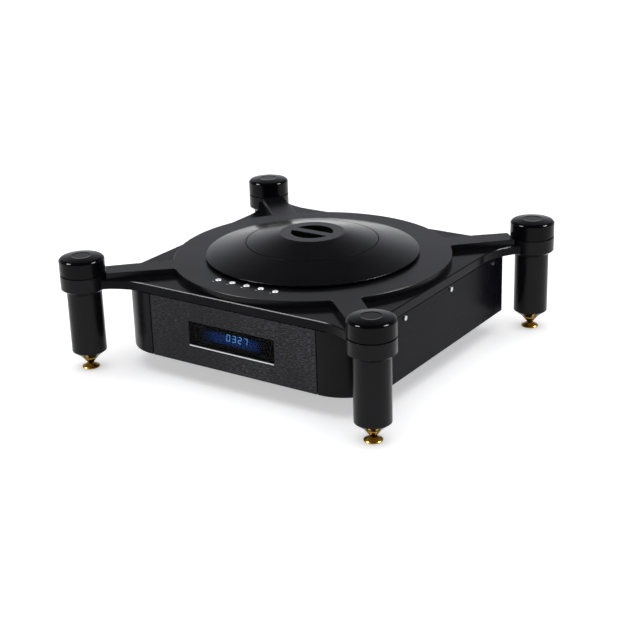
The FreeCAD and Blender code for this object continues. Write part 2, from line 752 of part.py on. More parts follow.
def disc_well():
    """The round tray that the disc lies in, slotted for the lens."""
    outer = WELL_R + WELL_WALL
    floor_top = DECK_TOP - WELL_DEEP
    floor_low = floor_top - WELL_FLOOR
    tray = turned([
        (WELL_HOLE_R, floor_low),
        (outer, floor_low),
        (outer, DECK_TOP),
        (WELL_FLANGE_R, DECK_TOP),
        (WELL_FLANGE_R, DECK_TOP + WELL_WALL),
        (WELL_R, DECK_TOP + WELL_WALL),
        (WELL_R, floor_top),
        (WELL_HOLE_R, floor_top),
    ])
    slot = box(-LENS_SLOT_HALF, LENS_SLOT_HALF, -LENS_SLOT_END, -WELL_HOLE_R + 3,
               floor_low - 1, floor_top + 1)
    return cut(tray, slot)


def turntable():
    """The spindle shaft with its hub, which centres and carries the disc."""
    top = DISC_Z + CENTRE_TALL + CONE_TALL
    return turned([
        (0, MECH_TOP + 1),
        (SHAFT_R, MECH_TOP + 1),
        (SHAFT_R, DISC_Z - HUB_THICK),
        (HUB_R, DISC_Z - HUB_THICK),
        (HUB_R, DISC_Z),
        (CENTRE_R, DISC_Z),
        (CENTRE_R, DISC_Z + CENTRE_TALL),
        (CENTRE_R - 2, top),
        (0, top),
    ])


def spindle_motor():
    return turned([
        (0, MECH_TOP),
        (MOTOR_R, MECH_TOP),
        (MOTOR_R, MECH_TOP + MOTOR_TALL),
        (SHAFT_R + SLIP, MECH_TOP + MOTOR_TALL),
        (SHAFT_R + SLIP, MECH_TOP + 0.5),
        (0, MECH_TOP + 0.5),
    ])


RACK_PITCH_X = ROD_X + 7.2
PINION_PITCH_R = RACK_MODULE * PINION_TEETH / 2
WHEEL_PITCH_R = WHEEL_MODULE * WHEEL_TEETH / 2
DRIVE_PITCH_R = WHEEL_MODULE * PINION_TEETH / 2
GEAR_X = RACK_PITCH_X + PINION_PITCH_R
MOTOR_X = GEAR_X + (WHEEL_PITCH_R + DRIVE_PITCH_R) * math.cos(MOTOR_BEARING)
MOTOR_Y = -GEAR_Y + (WHEEL_PITCH_R + DRIVE_PITCH_R) * math.sin(MOTOR_BEARING)
ROD_Z = MECH_TOP + ROD_UP
SLED_LOW = MECH_TOP + SLED_UP
RACK_LOW = ROD_Z - 2.5


def mechanism_plate():
    """The steel base plate with the bent tabs that hold the rods, and the gear's post."""
    plate = box(-MECH_HALF_X, MECH_HALF_X, -MECH_HALF_Y, MECH_HALF_Y, MECH_LOW, MECH_TOP)
    reach = ROD_FRONT - MECH_HALF_Y
    nose = box(-ROD_X - TAB, ROD_X + TAB, -MECH_HALF_Y - reach, -MECH_HALF_Y + 1, MECH_LOW, MECH_TOP)
    parts = [plate, nose]
    for side in (-1, 1):
        x = side * ROD_X
        for y_low in (-ROD_FRONT, ROD_BACK - TAB):
            parts.append(box(x - TAB, x + TAB, y_low, y_low + TAB, MECH_TOP - 1, ROD_Z + 3))
    parts.append(cylinder(ROD_R, GEAR_THICK + 7, GEAR_X, -GEAR_Y, MECH_TOP - 1))
    rods = [cylinder(ROD_R + SLIP, ROD_FRONT + ROD_BACK, side * ROD_X, -ROD_FRONT, ROD_Z, "Y")
            for side in (-1, 1)]
    shaft = cylinder(SHAFT_R + 1.5, MECH_THICK, MOTOR_X, MOTOR_Y, MECH_LOW)
    return cut(fuse(*parts), *rods, shaft)


def guide_rods():
    return group(*[cylinder(ROD_R, ROD_FRONT + ROD_BACK, side * ROD_X, -ROD_FRONT, ROD_Z, "Y")
                   for side in (-1, 1)])


def mechanism_dampers():
    return group(*[cylinder(DAMPER_R, PLATE_LOW - MECH_TOP, sx * DAMPER_X, sy * DAMPER_Y, MECH_TOP)
                   for _, sx, sy in QUARTERS])


def rack_teeth(x_pitch, y_first, y_last, low, height, y_centre):
    """Straight rack teeth that point to +X, with one tooth centred at y_centre."""
    module = RACK_MODULE.value
    step = math.pi * module
    tip = x_pitch + 0.85 * module
    foot = x_pitch - 1.15 * module
    half_tip = step / 4 - 0.06 - 0.85 * module * math.tan(PRESSURE)
    half_foot = step / 4 - 0.06 + 1.15 * module * math.tan(PRESSURE)
    first = math.ceil((y_first + half_foot - y_centre) / step)
    last = math.floor((y_last - half_foot - y_centre) / step)
    back = x_pitch - 3.2
    points = [(back, y_first), (foot, y_first)]
    for index in range(first, last + 1):
        y = y_centre + index * step
        points += [(foot, y - half_foot), (tip, y - half_tip), (tip, y + half_tip), (foot, y + half_foot)]
    points += [(foot, y_last), (back, y_last)]
    wire = Part.makePolygon([FreeCAD.Vector(a, b, low) for a, b in points + points[:1]])
    return Part.Face(wire).extrude(FreeCAD.Vector(0, 0, height))


def gear_teeth(teeth, module, low, height, tooth_at):
    """A spur gear about the Z axis with one tooth centred at the angle tooth_at."""
    pitch = module * teeth / 2
    base = pitch * math.cos(PRESSURE)
    tip = pitch + 0.85 * module
    foot = pitch - 1.15 * module
    start = max(base, foot) * 1.0005
    lean = math.tan(PRESSURE) - PRESSURE
    half_pitch = math.pi / (2 * teeth) - 0.03 / pitch

    def flank(radius, side, middle):
        roll = math.acos(base / radius)
        angle = middle + side * (half_pitch + lean - (math.tan(roll) - roll))
        return FreeCAD.Vector(radius * math.cos(angle), radius * math.sin(angle), low)

    def at(radius, angle):
        return FreeCAD.Vector(radius * math.cos(angle), radius * math.sin(angle), low)

    edges = []
    steps = [start + (tip - start) * part for part in (0, 0.33, 0.67, 1)]
    step = 2 * math.pi / teeth
    for index in range(teeth):
        middle = tooth_at + index * step
        rising = [flank(radius, -1, middle) for radius in steps]
        falling = [flank(radius, 1, middle) for radius in reversed(steps)]
        angle_low = math.atan2(rising[0].y, rising[0].x)
        angle_high = math.atan2(falling[-1].y, falling[-1].x)
        foot_low, foot_high = at(foot, angle_low), at(foot, angle_high)
        next_low = at(foot, angle_low + step)
        spare = (angle_low + step - angle_high) % (2 * math.pi)
        gap_middle = at(foot, angle_high + spare / 2)
        up, down = Part.BSplineCurve(), Part.BSplineCurve()
        up.interpolate(rising)
        down.interpolate(falling)
        edges += [
            Part.makeLine(foot_low, rising[0]),
            up.toShape(),
            Part.Arc(rising[-1], at(tip, middle), falling[0]).toShape(),
            down.toShape(),
            Part.makeLine(falling[-1], foot_high),
            Part.Arc(foot_high, gap_middle, next_low).toShape(),
        ]
    wire = Part.Wire(Part.__sortEdges__(edges))
    return Part.Face(wire).extrude(FreeCAD.Vector(0, 0, height))


def shaped(shape, x=0, y=0, z=0):
    thing = doc.addObject("Part::Feature", "shaped")
    thing.Shape = shape
    return put(thing, x, y, z)


def laser_sled():
    """The moulded sled on its two rods, with the rack and the yokes either side of the lens."""
    inner, outer = -LENS_HOME + 8, -LENS_HOME - 11
    low, high = SLED_LOW, SLED_LOW + SLED_TALL
    side = ROD_X - 4
    parts = [box(-side, side, outer, inner, low, high)]
    parts.append(box(side - 1, ROD_X + 4.2, outer, inner + 18, ROD_Z - 3, ROD_Z + 3))
    parts.append(box(-ROD_X - 4, -side + 1, outer, inner - 7, ROD_Z - 3, ROD_Z + 3))
    yoke = LENS_R + 2.6
    for x_low, x_high in ((yoke, yoke + 2), (-yoke - 2, -yoke)):
        parts.append(box(x_low, x_high, -LENS_HOME - 4, -LENS_HOME + 4, high - 1, high + 3.7))
    rack = rack_teeth(RACK_PITCH_X.value, outer.value - 2, inner.value + 24, RACK_LOW.value,
                      GEAR_THICK.value, -GEAR_Y.value)
    bores = [cylinder(ROD_R + SLIP, 80, x, -70, ROD_Z, "Y") for x in (ROD_X, -ROD_X)]
    return cut(fuse(*parts, shaped(rack)), *bores)


def objective_lens():
    """The lens in its holder, which floats between the yokes."""
    low = SLED_LOW + SLED_TALL + 0.8
    half = LENS_R + 2
    holder = box(-half, half, -LENS_HOME - half + 0.5, -LENS_HOME + half - 0.5, low, low + 3.8)
    dome = turned([(0, 0), (LENS_R, 0), (LENS_R * 0.8, 0.8), (LENS_R * 0.45, 1.25), (0, 1.4)],
                  0, -LENS_HOME, low + 3.8)
    return fuse(holder, dome)


def sled_gear():
    """The stepped gear on the plate's post: the small teeth drive the rack."""
    small = gear_teeth(PINION_TEETH, RACK_MODULE.value, 0, GEAR_THICK.value + 0.5,
                       math.pi + math.pi / PINION_TEETH)
    wheel_low = MECH_TOP.value + 1.5 - RACK_LOW.value
    large = gear_teeth(WHEEL_TEETH, WHEEL_MODULE.value, wheel_low, 2.2, MOTOR_BEARING)
    web = Part.makeCylinder(PINION_PITCH_R.value - 1, -wheel_low, FreeCAD.Vector(0, 0, wheel_low))
    both = shaped(small.fuse(large).fuse(web), GEAR_X, -GEAR_Y, RACK_LOW)
    return cut(both, cylinder(ROD_R + SLIP, 20, GEAR_X, -GEAR_Y, MECH_TOP - 1))


def motor_pinion():
    """The sled motor's shaft with its small pinion."""
    facing = MOTOR_BEARING + math.pi
    teeth = gear_teeth(PINION_TEETH, WHEEL_MODULE.value, 0, 3.4, facing + math.pi / PINION_TEETH)
    low = MECH_TOP + 1
    shaft = cylinder(SHAFT_R, 12, MOTOR_X, MOTOR_Y, low - 10)
    return fuse(shaped(teeth, MOTOR_X, MOTOR_Y, low), shaft)


def sled_motor():
    can = cylinder(SLED_MOTOR_R, SLED_MOTOR_TALL, MOTOR_X, MOTOR_Y, MECH_LOW - SLED_MOTOR_TALL)
    return cut(can, cylinder(SHAFT_R + SLIP, 20, MOTOR_X, MOTOR_Y, MECH_TOP - 9.5))


def front_panel():
    """The centre of the front, cut for the display and grooved for the trim."""
    face = box(-FACE_HALF, FACE_HALF, -BOX_FRONT, -BOX_FRONT + FACE_THICK, BOX_LOW, PANEL_TOP)
    middle = GLASS_LOW + GLASS_TALL / 2
    bed = box(-GLASS_HALF - SEAT, GLASS_HALF + SEAT, -BOX_FRONT - 1, -BOX_FRONT + GLASS_THICK + SEAT,
              GLASS_LOW - SEAT, GLASS_LOW + GLASS_TALL + SEAT)
    hole = box(-TUBE_HALF - 2, TUBE_HALF + 2, -BOX_FRONT, -BOX_FRONT + FACE_THICK + 1,
               middle - TUBE_TALL / 2 - 1, middle + TUBE_TALL / 2 + 1)
    groove = box(-GLASS_HALF, GLASS_HALF - 1, -BOX_FRONT - 1, -BOX_FRONT + TRIM_DEEP,
                 TRIM_LOW, TRIM_LOW + TRIM_TALL)
    return cut(face, bed, hole, groove)


def front_cheek(side):
    """The curved corner between the front panel and the side."""
    centre_x, centre_y = BOX_HALF_X - CHEEK_R, -BOX_FRONT + CHEEK_R
    height = PANEL_TOP - BOX_LOW
    turn = FreeCAD.Rotation(FreeCAD.Vector(0, 0, 1), -90 if side > 0 else 180)
    curves = []
    for radius in (CHEEK_R, CHEEK_R - FACE_THICK):
        curve = doc.addObject("Part::Cylinder", "cheek_curve")
        curve.Angle = 90
        bind(curve, "Radius", radius)
        bind(curve, "Height", height)
        curves.append(put(curve, side * centre_x, centre_y, BOX_LOW, turn))
    start = FACE_HALF + FACE_SEAM
    low, high = (start, centre_x) if side > 0 else (-centre_x, -start)
    flat = box(low, high, -BOX_FRONT, -BOX_FRONT + FACE_THICK, BOX_LOW, PANEL_TOP)
    return fuse(cut(curves[0], curves[1]), flat)


def screw_spots():
    return [SCREW_MID + SCREW_PITCH * index for index in (-1, 0, 1)]


SCREW_Z = PLATE_LOW - SCREW_DOWN
SIDE_INNER = BOX_HALF_X - SIDE_THICK


def side_panel(side):
    low, high = (SIDE_INNER, BOX_HALF_X) if side > 0 else (-BOX_HALF_X, -SIDE_INNER)
    plate = box(low, high, -BOX_FRONT + CHEEK_R + SEAT, BOX_REAR, BOX_LOW, PANEL_TOP)
    holes = [cylinder(SCREW_R + EASY, SIDE_THICK, low, y, SCREW_Z, "X") for y in screw_spots()]
    return cut(plate, *holes)


def side_rails():
    """The bars under the arm plate that the side screws go into."""
    rails = []
    for side in (-1, 1):
        inner = SIDE_INNER - RAIL_WIDE
        low, high = (inner, SIDE_INNER) if side > 0 else (-SIDE_INNER, -inner)
        rail = box(low, high, SCREW_MID - RAIL_LONG, SCREW_MID + RAIL_LONG, PLATE_LOW - RAIL_TALL, PLATE_LOW)
        holes = [cylinder(SCREW_R + EASY, RAIL_WIDE, low, y, SCREW_Z, "X") for y in screw_spots()]
        rails.append(cut(rail, *holes))
    return group(*rails)


def panel_screws():
    screws = []
    for side in (-1, 1):
        for y in screw_spots():
            if side > 0:
                shank = cylinder(SCREW_R, SCREW_LONG, BOX_HALF_X - SCREW_LONG, y, SCREW_Z, "X")
                head = cylinder(SCREW_HEAD_R, SCREW_HEAD, BOX_HALF_X, y, SCREW_Z, "X")
            else:
                shank = cylinder(SCREW_R, SCREW_LONG, -BOX_HALF_X, y, SCREW_Z, "X")
                head = cylinder(SCREW_HEAD_R, SCREW_HEAD, -BOX_HALF_X - SCREW_HEAD, y, SCREW_Z, "X")
            screws.append(fuse(shank, head))
    return group(*screws)


INLET_LEFT, INLET_RIGHT = -150, -92
RCA_X = (60, 85, 125)


def rear_panel():
    inner = SIDE_INNER - SEAT
    plate = box(-inner, inner, BOX_REAR - SIDE_THICK, BOX_REAR, BOX_LOW, PANEL_TOP)
    holes = [box(INLET_LEFT + 3 - EASY, INLET_RIGHT - 3 + EASY, BOX_REAR - 20, BOX_REAR + 1,
                 INLET_Z - 15 - EASY, INLET_Z + 15 + EASY)]
    for x in RCA_X:
        holes.append(cylinder(RCA_BODY_R + EASY, SIDE_THICK, x, BOX_REAR - SIDE_THICK, INLET_Z, "Y"))
    return cut(plate, *holes)


POSTS = (
    (-112, -BOX_FRONT + FACE_THICK + POST / 2),
    (112, -BOX_FRONT + FACE_THICK + POST / 2),
    (-154, BOX_REAR - SIDE_THICK - POST / 2),
    (154, BOX_REAR - SIDE_THICK - POST / 2),
)
CORE_X, CORE_Y = -95, -75
POWER_BOARD = (-158, -108, 15, 130)
AUDIO_BOARD = (90, 158, 0, 125)
CAN_SPOTS = [(-138, 32 + 27 * index) for index in range(4)]
VALVE_SPOTS = [(112, 50), (142, 50)]


def bottom_cover():
    """The flat bottom with its vent slots, board standoffs and transformer stud."""
    inner = BOX_HALF_X - FACE_THICK - SEAT
    front, back = BOX_FRONT - FACE_THICK - SEAT, BOX_REAR - SIDE_THICK - SEAT
    corners = [(-inner, -front), (inner, -front), (inner, back), (-inner, back)]
    plate = prism(corners, COVER_THICK, 0, 0, BOX_LOW + COVER_UP)
    round_corners(plate, corners[:2], CHEEK_R - FACE_THICK - SEAT)
    wide = SIDE_INNER - SEAT
    low = BOX_LOW + COVER_UP
    wings = box(-wide, wide, -BOX_FRONT + CHEEK_R + SEAT, back, low, low + COVER_THICK)
    pegs = [wings, cylinder(CORE_HOLE_R / 3, CORE_TALL + 1, CORE_X, CORE_Y, COVER_TOP - 1)]
    for x_low, x_high, y_low, y_high in (POWER_BOARD, AUDIO_BOARD):
        for x in (x_low + 5, x_high - 5):
            for y in (y_low + 5, y_high - 5):
                pegs.append(cylinder(STANDOFF_R, STANDOFF + 1, x, y, COVER_TOP - 1))
    slots = [box(-20, 60, -60 + 14 * index, -56 + 14 * index, BOX_LOW, COVER_TOP + 1)
             for index in range(8)]
    return cut(fuse(plate, *pegs), *slots)


def chassis_posts():
    return group(*[box(x - POST / 2, x + POST / 2, y - POST / 2, y + POST / 2, COVER_TOP, PLATE_LOW)
                   for x, y in POSTS])


def display_window():
    return box(-GLASS_HALF, GLASS_HALF, -BOX_FRONT + SEAT, -BOX_FRONT + SEAT + GLASS_THICK,
               GLASS_LOW, GLASS_LOW + GLASS_TALL)


def display_trim():
    return box(-GLASS_HALF, GLASS_HALF - 1, -BOX_FRONT - TRIM_PROUD, -BOX_FRONT + TRIM_DEEP,
               TRIM_LOW, TRIM_LOW + TRIM_TALL)


def display_tube():
    middle = GLASS_LOW + GLASS_TALL / 2
    return box(-TUBE_HALF, TUBE_HALF, -BOX_FRONT + GLASS_THICK + SEAT * 2, -BOX_FRONT + FACE_THICK,
               middle - TUBE_TALL / 2, middle + TUBE_TALL / 2)


def display_board():
    middle = GLASS_LOW + GLASS_TALL / 2
    back = -BOX_FRONT + FACE_THICK
    return box(-TUBE_HALF - 8, TUBE_HALF + 8, back, back + BOARD, middle - 20, middle + 20)


BUTTON_TOP = DECK_TOP + BUTTON_UP
BUTTON_LOW = BUTTON_TOP - BUTTON_TALL


def front_button(spot):
    """One push button with a domed top, held under the deck by its flange."""
    flange_top = PLATE_TOP + FLANGE_UP - SEAT
    return turned([
        (0, BUTTON_LOW),
        (BUTTON_STEM_R, BUTTON_LOW),
        (BUTTON_STEM_R, flange_top - FLANGE_THICK),
        (BUTTON_R + FLANGE_OUT, flange_top - FLANGE_THICK),
        (BUTTON_R + FLANGE_OUT, flange_top),
        (BUTTON_R, flange_top),
        (BUTTON_R, BUTTON_TOP - BUTTON_DOME - BUTTON_EDGE),
        (BUTTON_R - BUTTON_EDGE, BUTTON_TOP - BUTTON_DOME),
        (BUTTON_R / 2, BUTTON_TOP),
        (0, BUTTON_TOP),
    ], BUTTON_PITCH * spot, -BUTTON_Y)


def button_board():
    """The switch board that hangs under the deck on two posts."""
    switch_top = BUTTON_LOW - BUTTON_TRAVEL - EASY
    board_top = switch_top - SWITCH_TALL
    half = BUTTON_PITCH * 2 + 12
    parts = [box(-half, half, -BUTTON_Y - 9, -BUTTON_Y + 9, board_top - BOARD, board_top)]
    for spot in range(-2, 3):
        x = BUTTON_PITCH * spot
        parts.append(box(x - SWITCH / 2, x + SWITCH / 2, -BUTTON_Y - SWITCH / 2, -BUTTON_Y + SWITCH / 2,
                         board_top - 0.5, switch_top))
    for x in (-half + 4, half - 4):
        parts.append(cylinder(2.5, PLATE_TOP - board_top + 0.5, x, -BUTTON_Y, board_top - 0.5))
    return fuse(*parts)


def transformer():
    """The toroid, standing flat round its stud."""
    inner, outer, top = CORE_HOLE_R, CORE_R, CORE_TALL
    edge = 8
    return turned([
        (inner + edge, 0), (outer - edge, 0), (outer, edge), (outer, top - edge),
        (outer - edge, top), (inner + edge, top), (inner, top - edge), (inner, edge),
    ], CORE_X, CORE_Y, COVER_TOP)


def board(x_low, x_high, y_low, y_high):
    plate = box(x_low, x_high, y_low, y_high, BOARD_LOW, BOARD_TOP)
    return plate


def filter_capacitors():
    return group(*[cylinder(CAN_R, CAN_TALL, x, y, BOARD_TOP) for x, y in CAN_SPOTS])


def valve_sockets():
    return group(*[turned([(0, 0), (VALVE_BASE_R, 0), (VALVE_BASE_R, VALVE_BASE), (0, VALVE_BASE)],
                          x, y, BOARD_TOP) for x, y in VALVE_SPOTS])


def audio_valves():
    """The double triodes: straight glass with a drawn tip."""
    profile = [(0, 0), (VALVE_R - 1, 0), (VALVE_R, 2), (VALVE_R, VALVE_TALL - 8),
               (VALVE_R - 3, VALVE_TALL - 3), (2.5, VALVE_TALL - 1.5), (0, VALVE_TALL + 3)]
    return group(*[turned(profile, x, y, BOARD_TOP + VALVE_BASE) for x, y in VALVE_SPOTS])


SOCKET_X = -132
ROCKER_X = -106
PIVOT_Y = BOX_REAR - 3


def mains_inlet():
    """The three-pin inlet with the bays for the fuse drawer and the rocker."""
    rear = BOX_REAR
    flange = box(INLET_LEFT, INLET_RIGHT, rear, rear + 2.5, INLET_Z - 18, INLET_Z + 18)
    body = box(INLET_LEFT + 3, INLET_RIGHT - 3, rear - 22, rear + 1, INLET_Z - 15, INLET_Z + 15)
    cavity = box(SOCKET_X - 12.3, SOCKET_X + 12.3, rear - 15, rear + 4, INLET_Z - 3.5, INLET_Z + 13.1)
    drawer = box(SOCKET_X - 12, SOCKET_X + 12, rear - 16, rear + 4, INLET_Z - 13.6, INLET_Z - 6.2)
    bay = box(ROCKER_X - 6.2, ROCKER_X + 6.2, rear - 11, rear + 4, INLET_Z - 10.2, INLET_Z + 10.2)
    axle = cylinder(1.25, 16.4, ROCKER_X - 8.2, PIVOT_Y, INLET_Z, "X")
    pins = []
    for x, z in ((-7, 2.8), (7, 2.8), (0, 6.8)):
        pins.append(box(SOCKET_X + x - 1, SOCKET_X + x + 1, rear - 16, rear - 1,
                        INLET_Z + z - 2, INLET_Z + z + 2))
    return fuse(cut(fuse(flange, body), cavity, drawer, bay, axle), *pins)


def fuse_drawer():
    tray = box(SOCKET_X - 11.8, SOCKET_X + 11.8, BOX_REAR - 15.5, BOX_REAR + 2.6,
               INLET_Z - 13.4, INLET_Z - 6.4)
    lip = box(SOCKET_X - 4, SOCKET_X + 4, BOX_REAR + 2.6, BOX_REAR + 4.2, INLET_Z - 8.4, INLET_Z - 6.4)
    hollow = box(SOCKET_X - 10, SOCKET_X + 10, BOX_REAR - 13.5, BOX_REAR - 1, INLET_Z - 11.6, INLET_Z - 5)
    return cut(fuse(tray, lip), hollow)


def power_rocker():
    """The rocker at its off position, on trunnions in the inlet's walls."""
    tilt = math.radians(-8)
    shape_points = [(-9.2, 4.5), (0, 3.2), (9.2, 4.5), (9.2, -1), (3, -5), (-3, -5), (-9.2, -1)]
    points = []
    for along, out in shape_points:
        y = out * math.cos(tilt) - along * math.sin(tilt)
        z = out * math.sin(tilt) + along * math.cos(tilt)
        points.append(FreeCAD.Vector(0, y, z))
    key = Part.Face(Part.makePolygon(points + points[:1])).extrude(FreeCAD.Vector(11.8, 0, 0))
    block = shaped(key, ROCKER_X - 5.9, PIVOT_Y, INLET_Z)
    pin = cylinder(1.2, 15.8, ROCKER_X - 7.9, PIVOT_Y, INLET_Z, "X")
    return fuse(block, pin)


def rca_sockets():
    """The three output sockets: a flange outside the panel and a hollow barrel for the plug."""
    items = []
    for x in RCA_X:
        barrel = fuse(
            cylinder(RCA_BODY_R, 12, x, BOX_REAR - 11, INLET_Z, "Y"),
            cylinder(RCA_FLANGE_R, 2, x, BOX_REAR, INLET_Z, "Y"),
            cylinder(RCA_R, RCA_LONG, x, BOX_REAR + 2, INLET_Z, "Y"),
        )
        items.append(cut(barrel, cylinder(RCA_BORE_R, RCA_LONG, x, BOX_REAR + 2, INLET_Z, "Y")))
    return group(*items)


for place, sx, sy in QUARTERS:
    node(f"pillar_{place}", pillar(sx, sy))
    node(f"pillar_cap_{place}", pillar_cap(sx, sy))
node("tie_bolts", group(*[tie_bolt(sx, sy) for _, sx, sy in QUARTERS]))
node("foot_spikes", group(*[foot_spike(sx, sy) for _, sx, sy in QUARTERS]))
node("floor_shoes", group(*[floor_shoe(sx, sy) for _, sx, sy in QUARTERS]))
node("arm_plate", arm_plate())
node("top_deck", top_deck())
node("lid_bezel", lid_bezel())
node("bezel_spacers", bezel_spacers())
node("lid_seal", ring(MOUTH_R + SEAT, LID_R, LEDGE_Z, LEDGE_Z + SEAL_THICK))
node("lid", lid())
node("clamp_cage", clamp_cage())
node("clamp_puck", clamp_puck())
node("disc_well", disc_well())
node("turntable", turntable())
node("spindle_motor", spindle_motor())
node("mechanism_plate", mechanism_plate())
node("mechanism_dampers", mechanism_dampers())
node("guide_rods", guide_rods())
node("laser_sled", laser_sled())
node("objective_lens", objective_lens())
node("sled_gear", sled_gear())
node("motor_pinion", motor_pinion())
node("sled_motor", sled_motor())
node("front_panel", front_panel())
node("front_cheek_left", front_cheek(-1))
node("front_cheek_right", front_cheek(1))
node("side_panel_left", side_panel(-1))
node("side_panel_right", side_panel(1))
node("side_rails", side_rails())
node("panel_screws", panel_screws())
node("rear_panel", rear_panel())
node("bottom_cover", bottom_cover())
node("chassis_posts", chassis_posts())
node("display_window", display_window())
node("display_trim", display_trim())
node("display_tube", display_tube())
node("display_board", display_board())
node("button_board", button_board())
for index in range(5):
    node(f"button_{index + 1}", front_button(index - 2))
node("transformer", transformer())
node("power_board", board(*POWER_BOARD))
node("audio_board", board(*AUDIO_BOARD))
node("filter_capacitors", filter_capacitors())
node("valve_sockets", valve_sockets())
node("audio_valves", audio_valves())
node("mains_inlet", mains_inlet())
node("fuse_drawer", fuse_drawer())
node("power_rocker", power_rocker())
node("rca_sockets", rca_sockets())

doc.recompute()
failed = [item.Label for item in doc.Objects if {"Invalid", "Error"} & set(item.State)]
if failed:
    raise RuntimeError(f"failed objects: {failed}")
for item in nodes:
    if item.Shape.isNull() or not item.Shape.isValid():
        raise RuntimeError(f"{item.Label} has no valid shape")

os.makedirs("parts", exist_ok=True)
for item in nodes:
    item.Shape.exportStep(f"parts/{item.Label}.step")
    print(f"{item.Label}: {len(item.Shape.Solids)} solids, {item.Shape.Volume / 1000:.2f} cm3")
print(f"{len(nodes)} sub-parts")
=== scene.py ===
# %% [markdown]
# # A top-loading disc player, dressed for its photograph
#
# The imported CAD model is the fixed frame. Every panel, pillar and gear is already there as a mesh in
# metres, and its vertices stay as they are. This script gives each part its finish and softens the edges
# that catch the light. It adds the two things that are too thin to be CAD parts, which are the lit digits
# and the printed marks beside the buttons, and sets up the floor, the light and the camera.

import math

import bmesh
import bpy
from mathutils import Matrix, Vector


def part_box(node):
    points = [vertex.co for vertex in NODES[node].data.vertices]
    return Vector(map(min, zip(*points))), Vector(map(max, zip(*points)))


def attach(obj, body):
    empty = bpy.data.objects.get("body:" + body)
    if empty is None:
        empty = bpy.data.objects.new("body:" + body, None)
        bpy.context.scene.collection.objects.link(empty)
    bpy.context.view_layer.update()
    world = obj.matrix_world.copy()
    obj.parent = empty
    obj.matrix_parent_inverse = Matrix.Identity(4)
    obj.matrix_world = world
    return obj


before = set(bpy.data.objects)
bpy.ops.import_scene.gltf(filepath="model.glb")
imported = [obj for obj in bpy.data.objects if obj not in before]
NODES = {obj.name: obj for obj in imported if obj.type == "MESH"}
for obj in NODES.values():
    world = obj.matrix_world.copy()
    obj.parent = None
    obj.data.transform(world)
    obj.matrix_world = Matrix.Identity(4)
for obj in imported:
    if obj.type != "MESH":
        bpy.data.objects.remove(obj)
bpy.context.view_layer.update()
MM = 0.001


# %% [markdown]
# ## A material is a graph of nodes
#
# In the shader editor a material is drawn as boxes with links between them, ending in one shader. A
# script has to add each box and each link itself, and that soon hides the idea behind a finish. So one
# class keeps the bookkeeping. `node` adds a box and fills its sockets, each with a number or with another
# box's output, and `set` fills the sockets of the shader at the end.

# %% A node tree with one shader
class Nodes:
    """One material's node tree, with a Principled shader on its output."""

    def __init__(self, name):
        self.material = bpy.data.materials.new(name)
        self.material.use_nodes = True
        self.tree = self.material.node_tree
        self.tree.nodes.clear()
        self.shader = self.node("BsdfPrincipled")
        self.node("OutputMaterial", {"Surface": self.shader.outputs["BSDF"]})
        self.place = self.node("TexCoord").outputs["Object"]

    def node(self, kind, inputs=None, **settings):
        made = self.tree.nodes.new("ShaderNode" + kind)
        for key, value in settings.items():
            setattr(made, key, value)
        for key, value in (inputs or {}).items():
            self.feed(made.inputs[key], value)
        return made

    def feed(self, socket, value):
        if isinstance(value, bpy.types.NodeSocket):
            self.tree.links.new(value, socket)
        else:
            socket.default_value = value

    def set(self, **sockets):
        for key, value in sockets.items():
            self.feed(self.shader.inputs[key.replace("_", " ")], value)


print("a node tree can be made")


# %% [markdown]
# ## Patterns are formulas
#
# Grain, stains and tool marks could be painted images. Here each of them is a formula of the part's own
# coordinates, in metres. A formula stays sharp however near the camera comes, and it moves with the part
# when a joint turns or slides. These are the few operations that all finishes share.

# %% Arithmetic and patterns
class Graph(Nodes):
    """A node tree with the arithmetic and the patterns that the finishes are made of."""

    def math(self, operation, first, second=0.0):
        return self.node("Math", {0: first, 1: second}, operation=operation).outputs[0]

    def plus(self, first, second):
        return self.math("ADD", first, second)

    def minus(self, first, second):
        return self.math("SUBTRACT", first, second)

    def times(self, first, second):
        return self.math("MULTIPLY", first, second)

    def between(self, value, low, high):
        """One where the value lies between the two numbers, else nought."""
        return self.times(self.math("GREATER_THAN", value, low), self.math("LESS_THAN", value, high))

    def xyz(self):
        return self.node("SeparateXYZ", {0: self.place}).outputs

    def noise(self, scale, detail=2.0, vector=None, roughness=0.5):
        inputs = {"Vector": vector or self.place, "Scale": scale, "Detail": detail, "Roughness": roughness}
        return self.node("TexNoise", inputs).outputs["Fac"]

    def streaks(self, per_metre, detail, roughness):
        """Noise that is finer along one axis than along another, as brushed metal is."""
        stretched = self.node("Mapping", {"Vector": self.place, "Scale": per_metre}).outputs[0]
        return self.noise(1.0, detail, stretched, roughness)


print("arithmetic and noise can be made")


# %% [markdown]
# ## From a pattern to a look
#
# A pattern runs from nought to one, mostly near the middle. `spread` stretches it to the range that a
# socket wants, `mix` turns it into a colour, and `bump` into tiny hills that tilt the light without
# moving the surface. `eased` shades a sharp edge as if it were rounded, for parts whose mesh isn't
# bevelled.

# %% Ranges, colours and bumps
def spread(graph, value, low, high, start=0.3, end=0.7, easing="LINEAR"):
    inputs = {"Value": value, "From Min": start, "From Max": end, "To Min": low, "To Max": high}
    return graph.node("MapRange", inputs, interpolation_type=easing).outputs["Result"]


def mix(graph, share, first, second):
    blend = graph.node("Mix", data_type="RGBA")
    share_socket, first_socket, second_socket = blend.inputs[0], blend.inputs[6], blend.inputs[7]
    graph.feed(share_socket, share)
    graph.feed(first_socket, first)
    graph.feed(second_socket, second)
    return blend.outputs[2]


def bump(graph, height, distance, strength, under=None):
    inputs = {"Height": height, "Distance": distance, "Strength": strength}
    if under is not None:
        inputs["Normal"] = under
    return graph.node("Bump", inputs).outputs["Normal"]


def eased(graph, radius):
    return graph.node("Bevel", {"Radius": radius}, samples=6).outputs["Normal"]


def tone(red, green, blue):
    return (red, green, blue, 1.0)


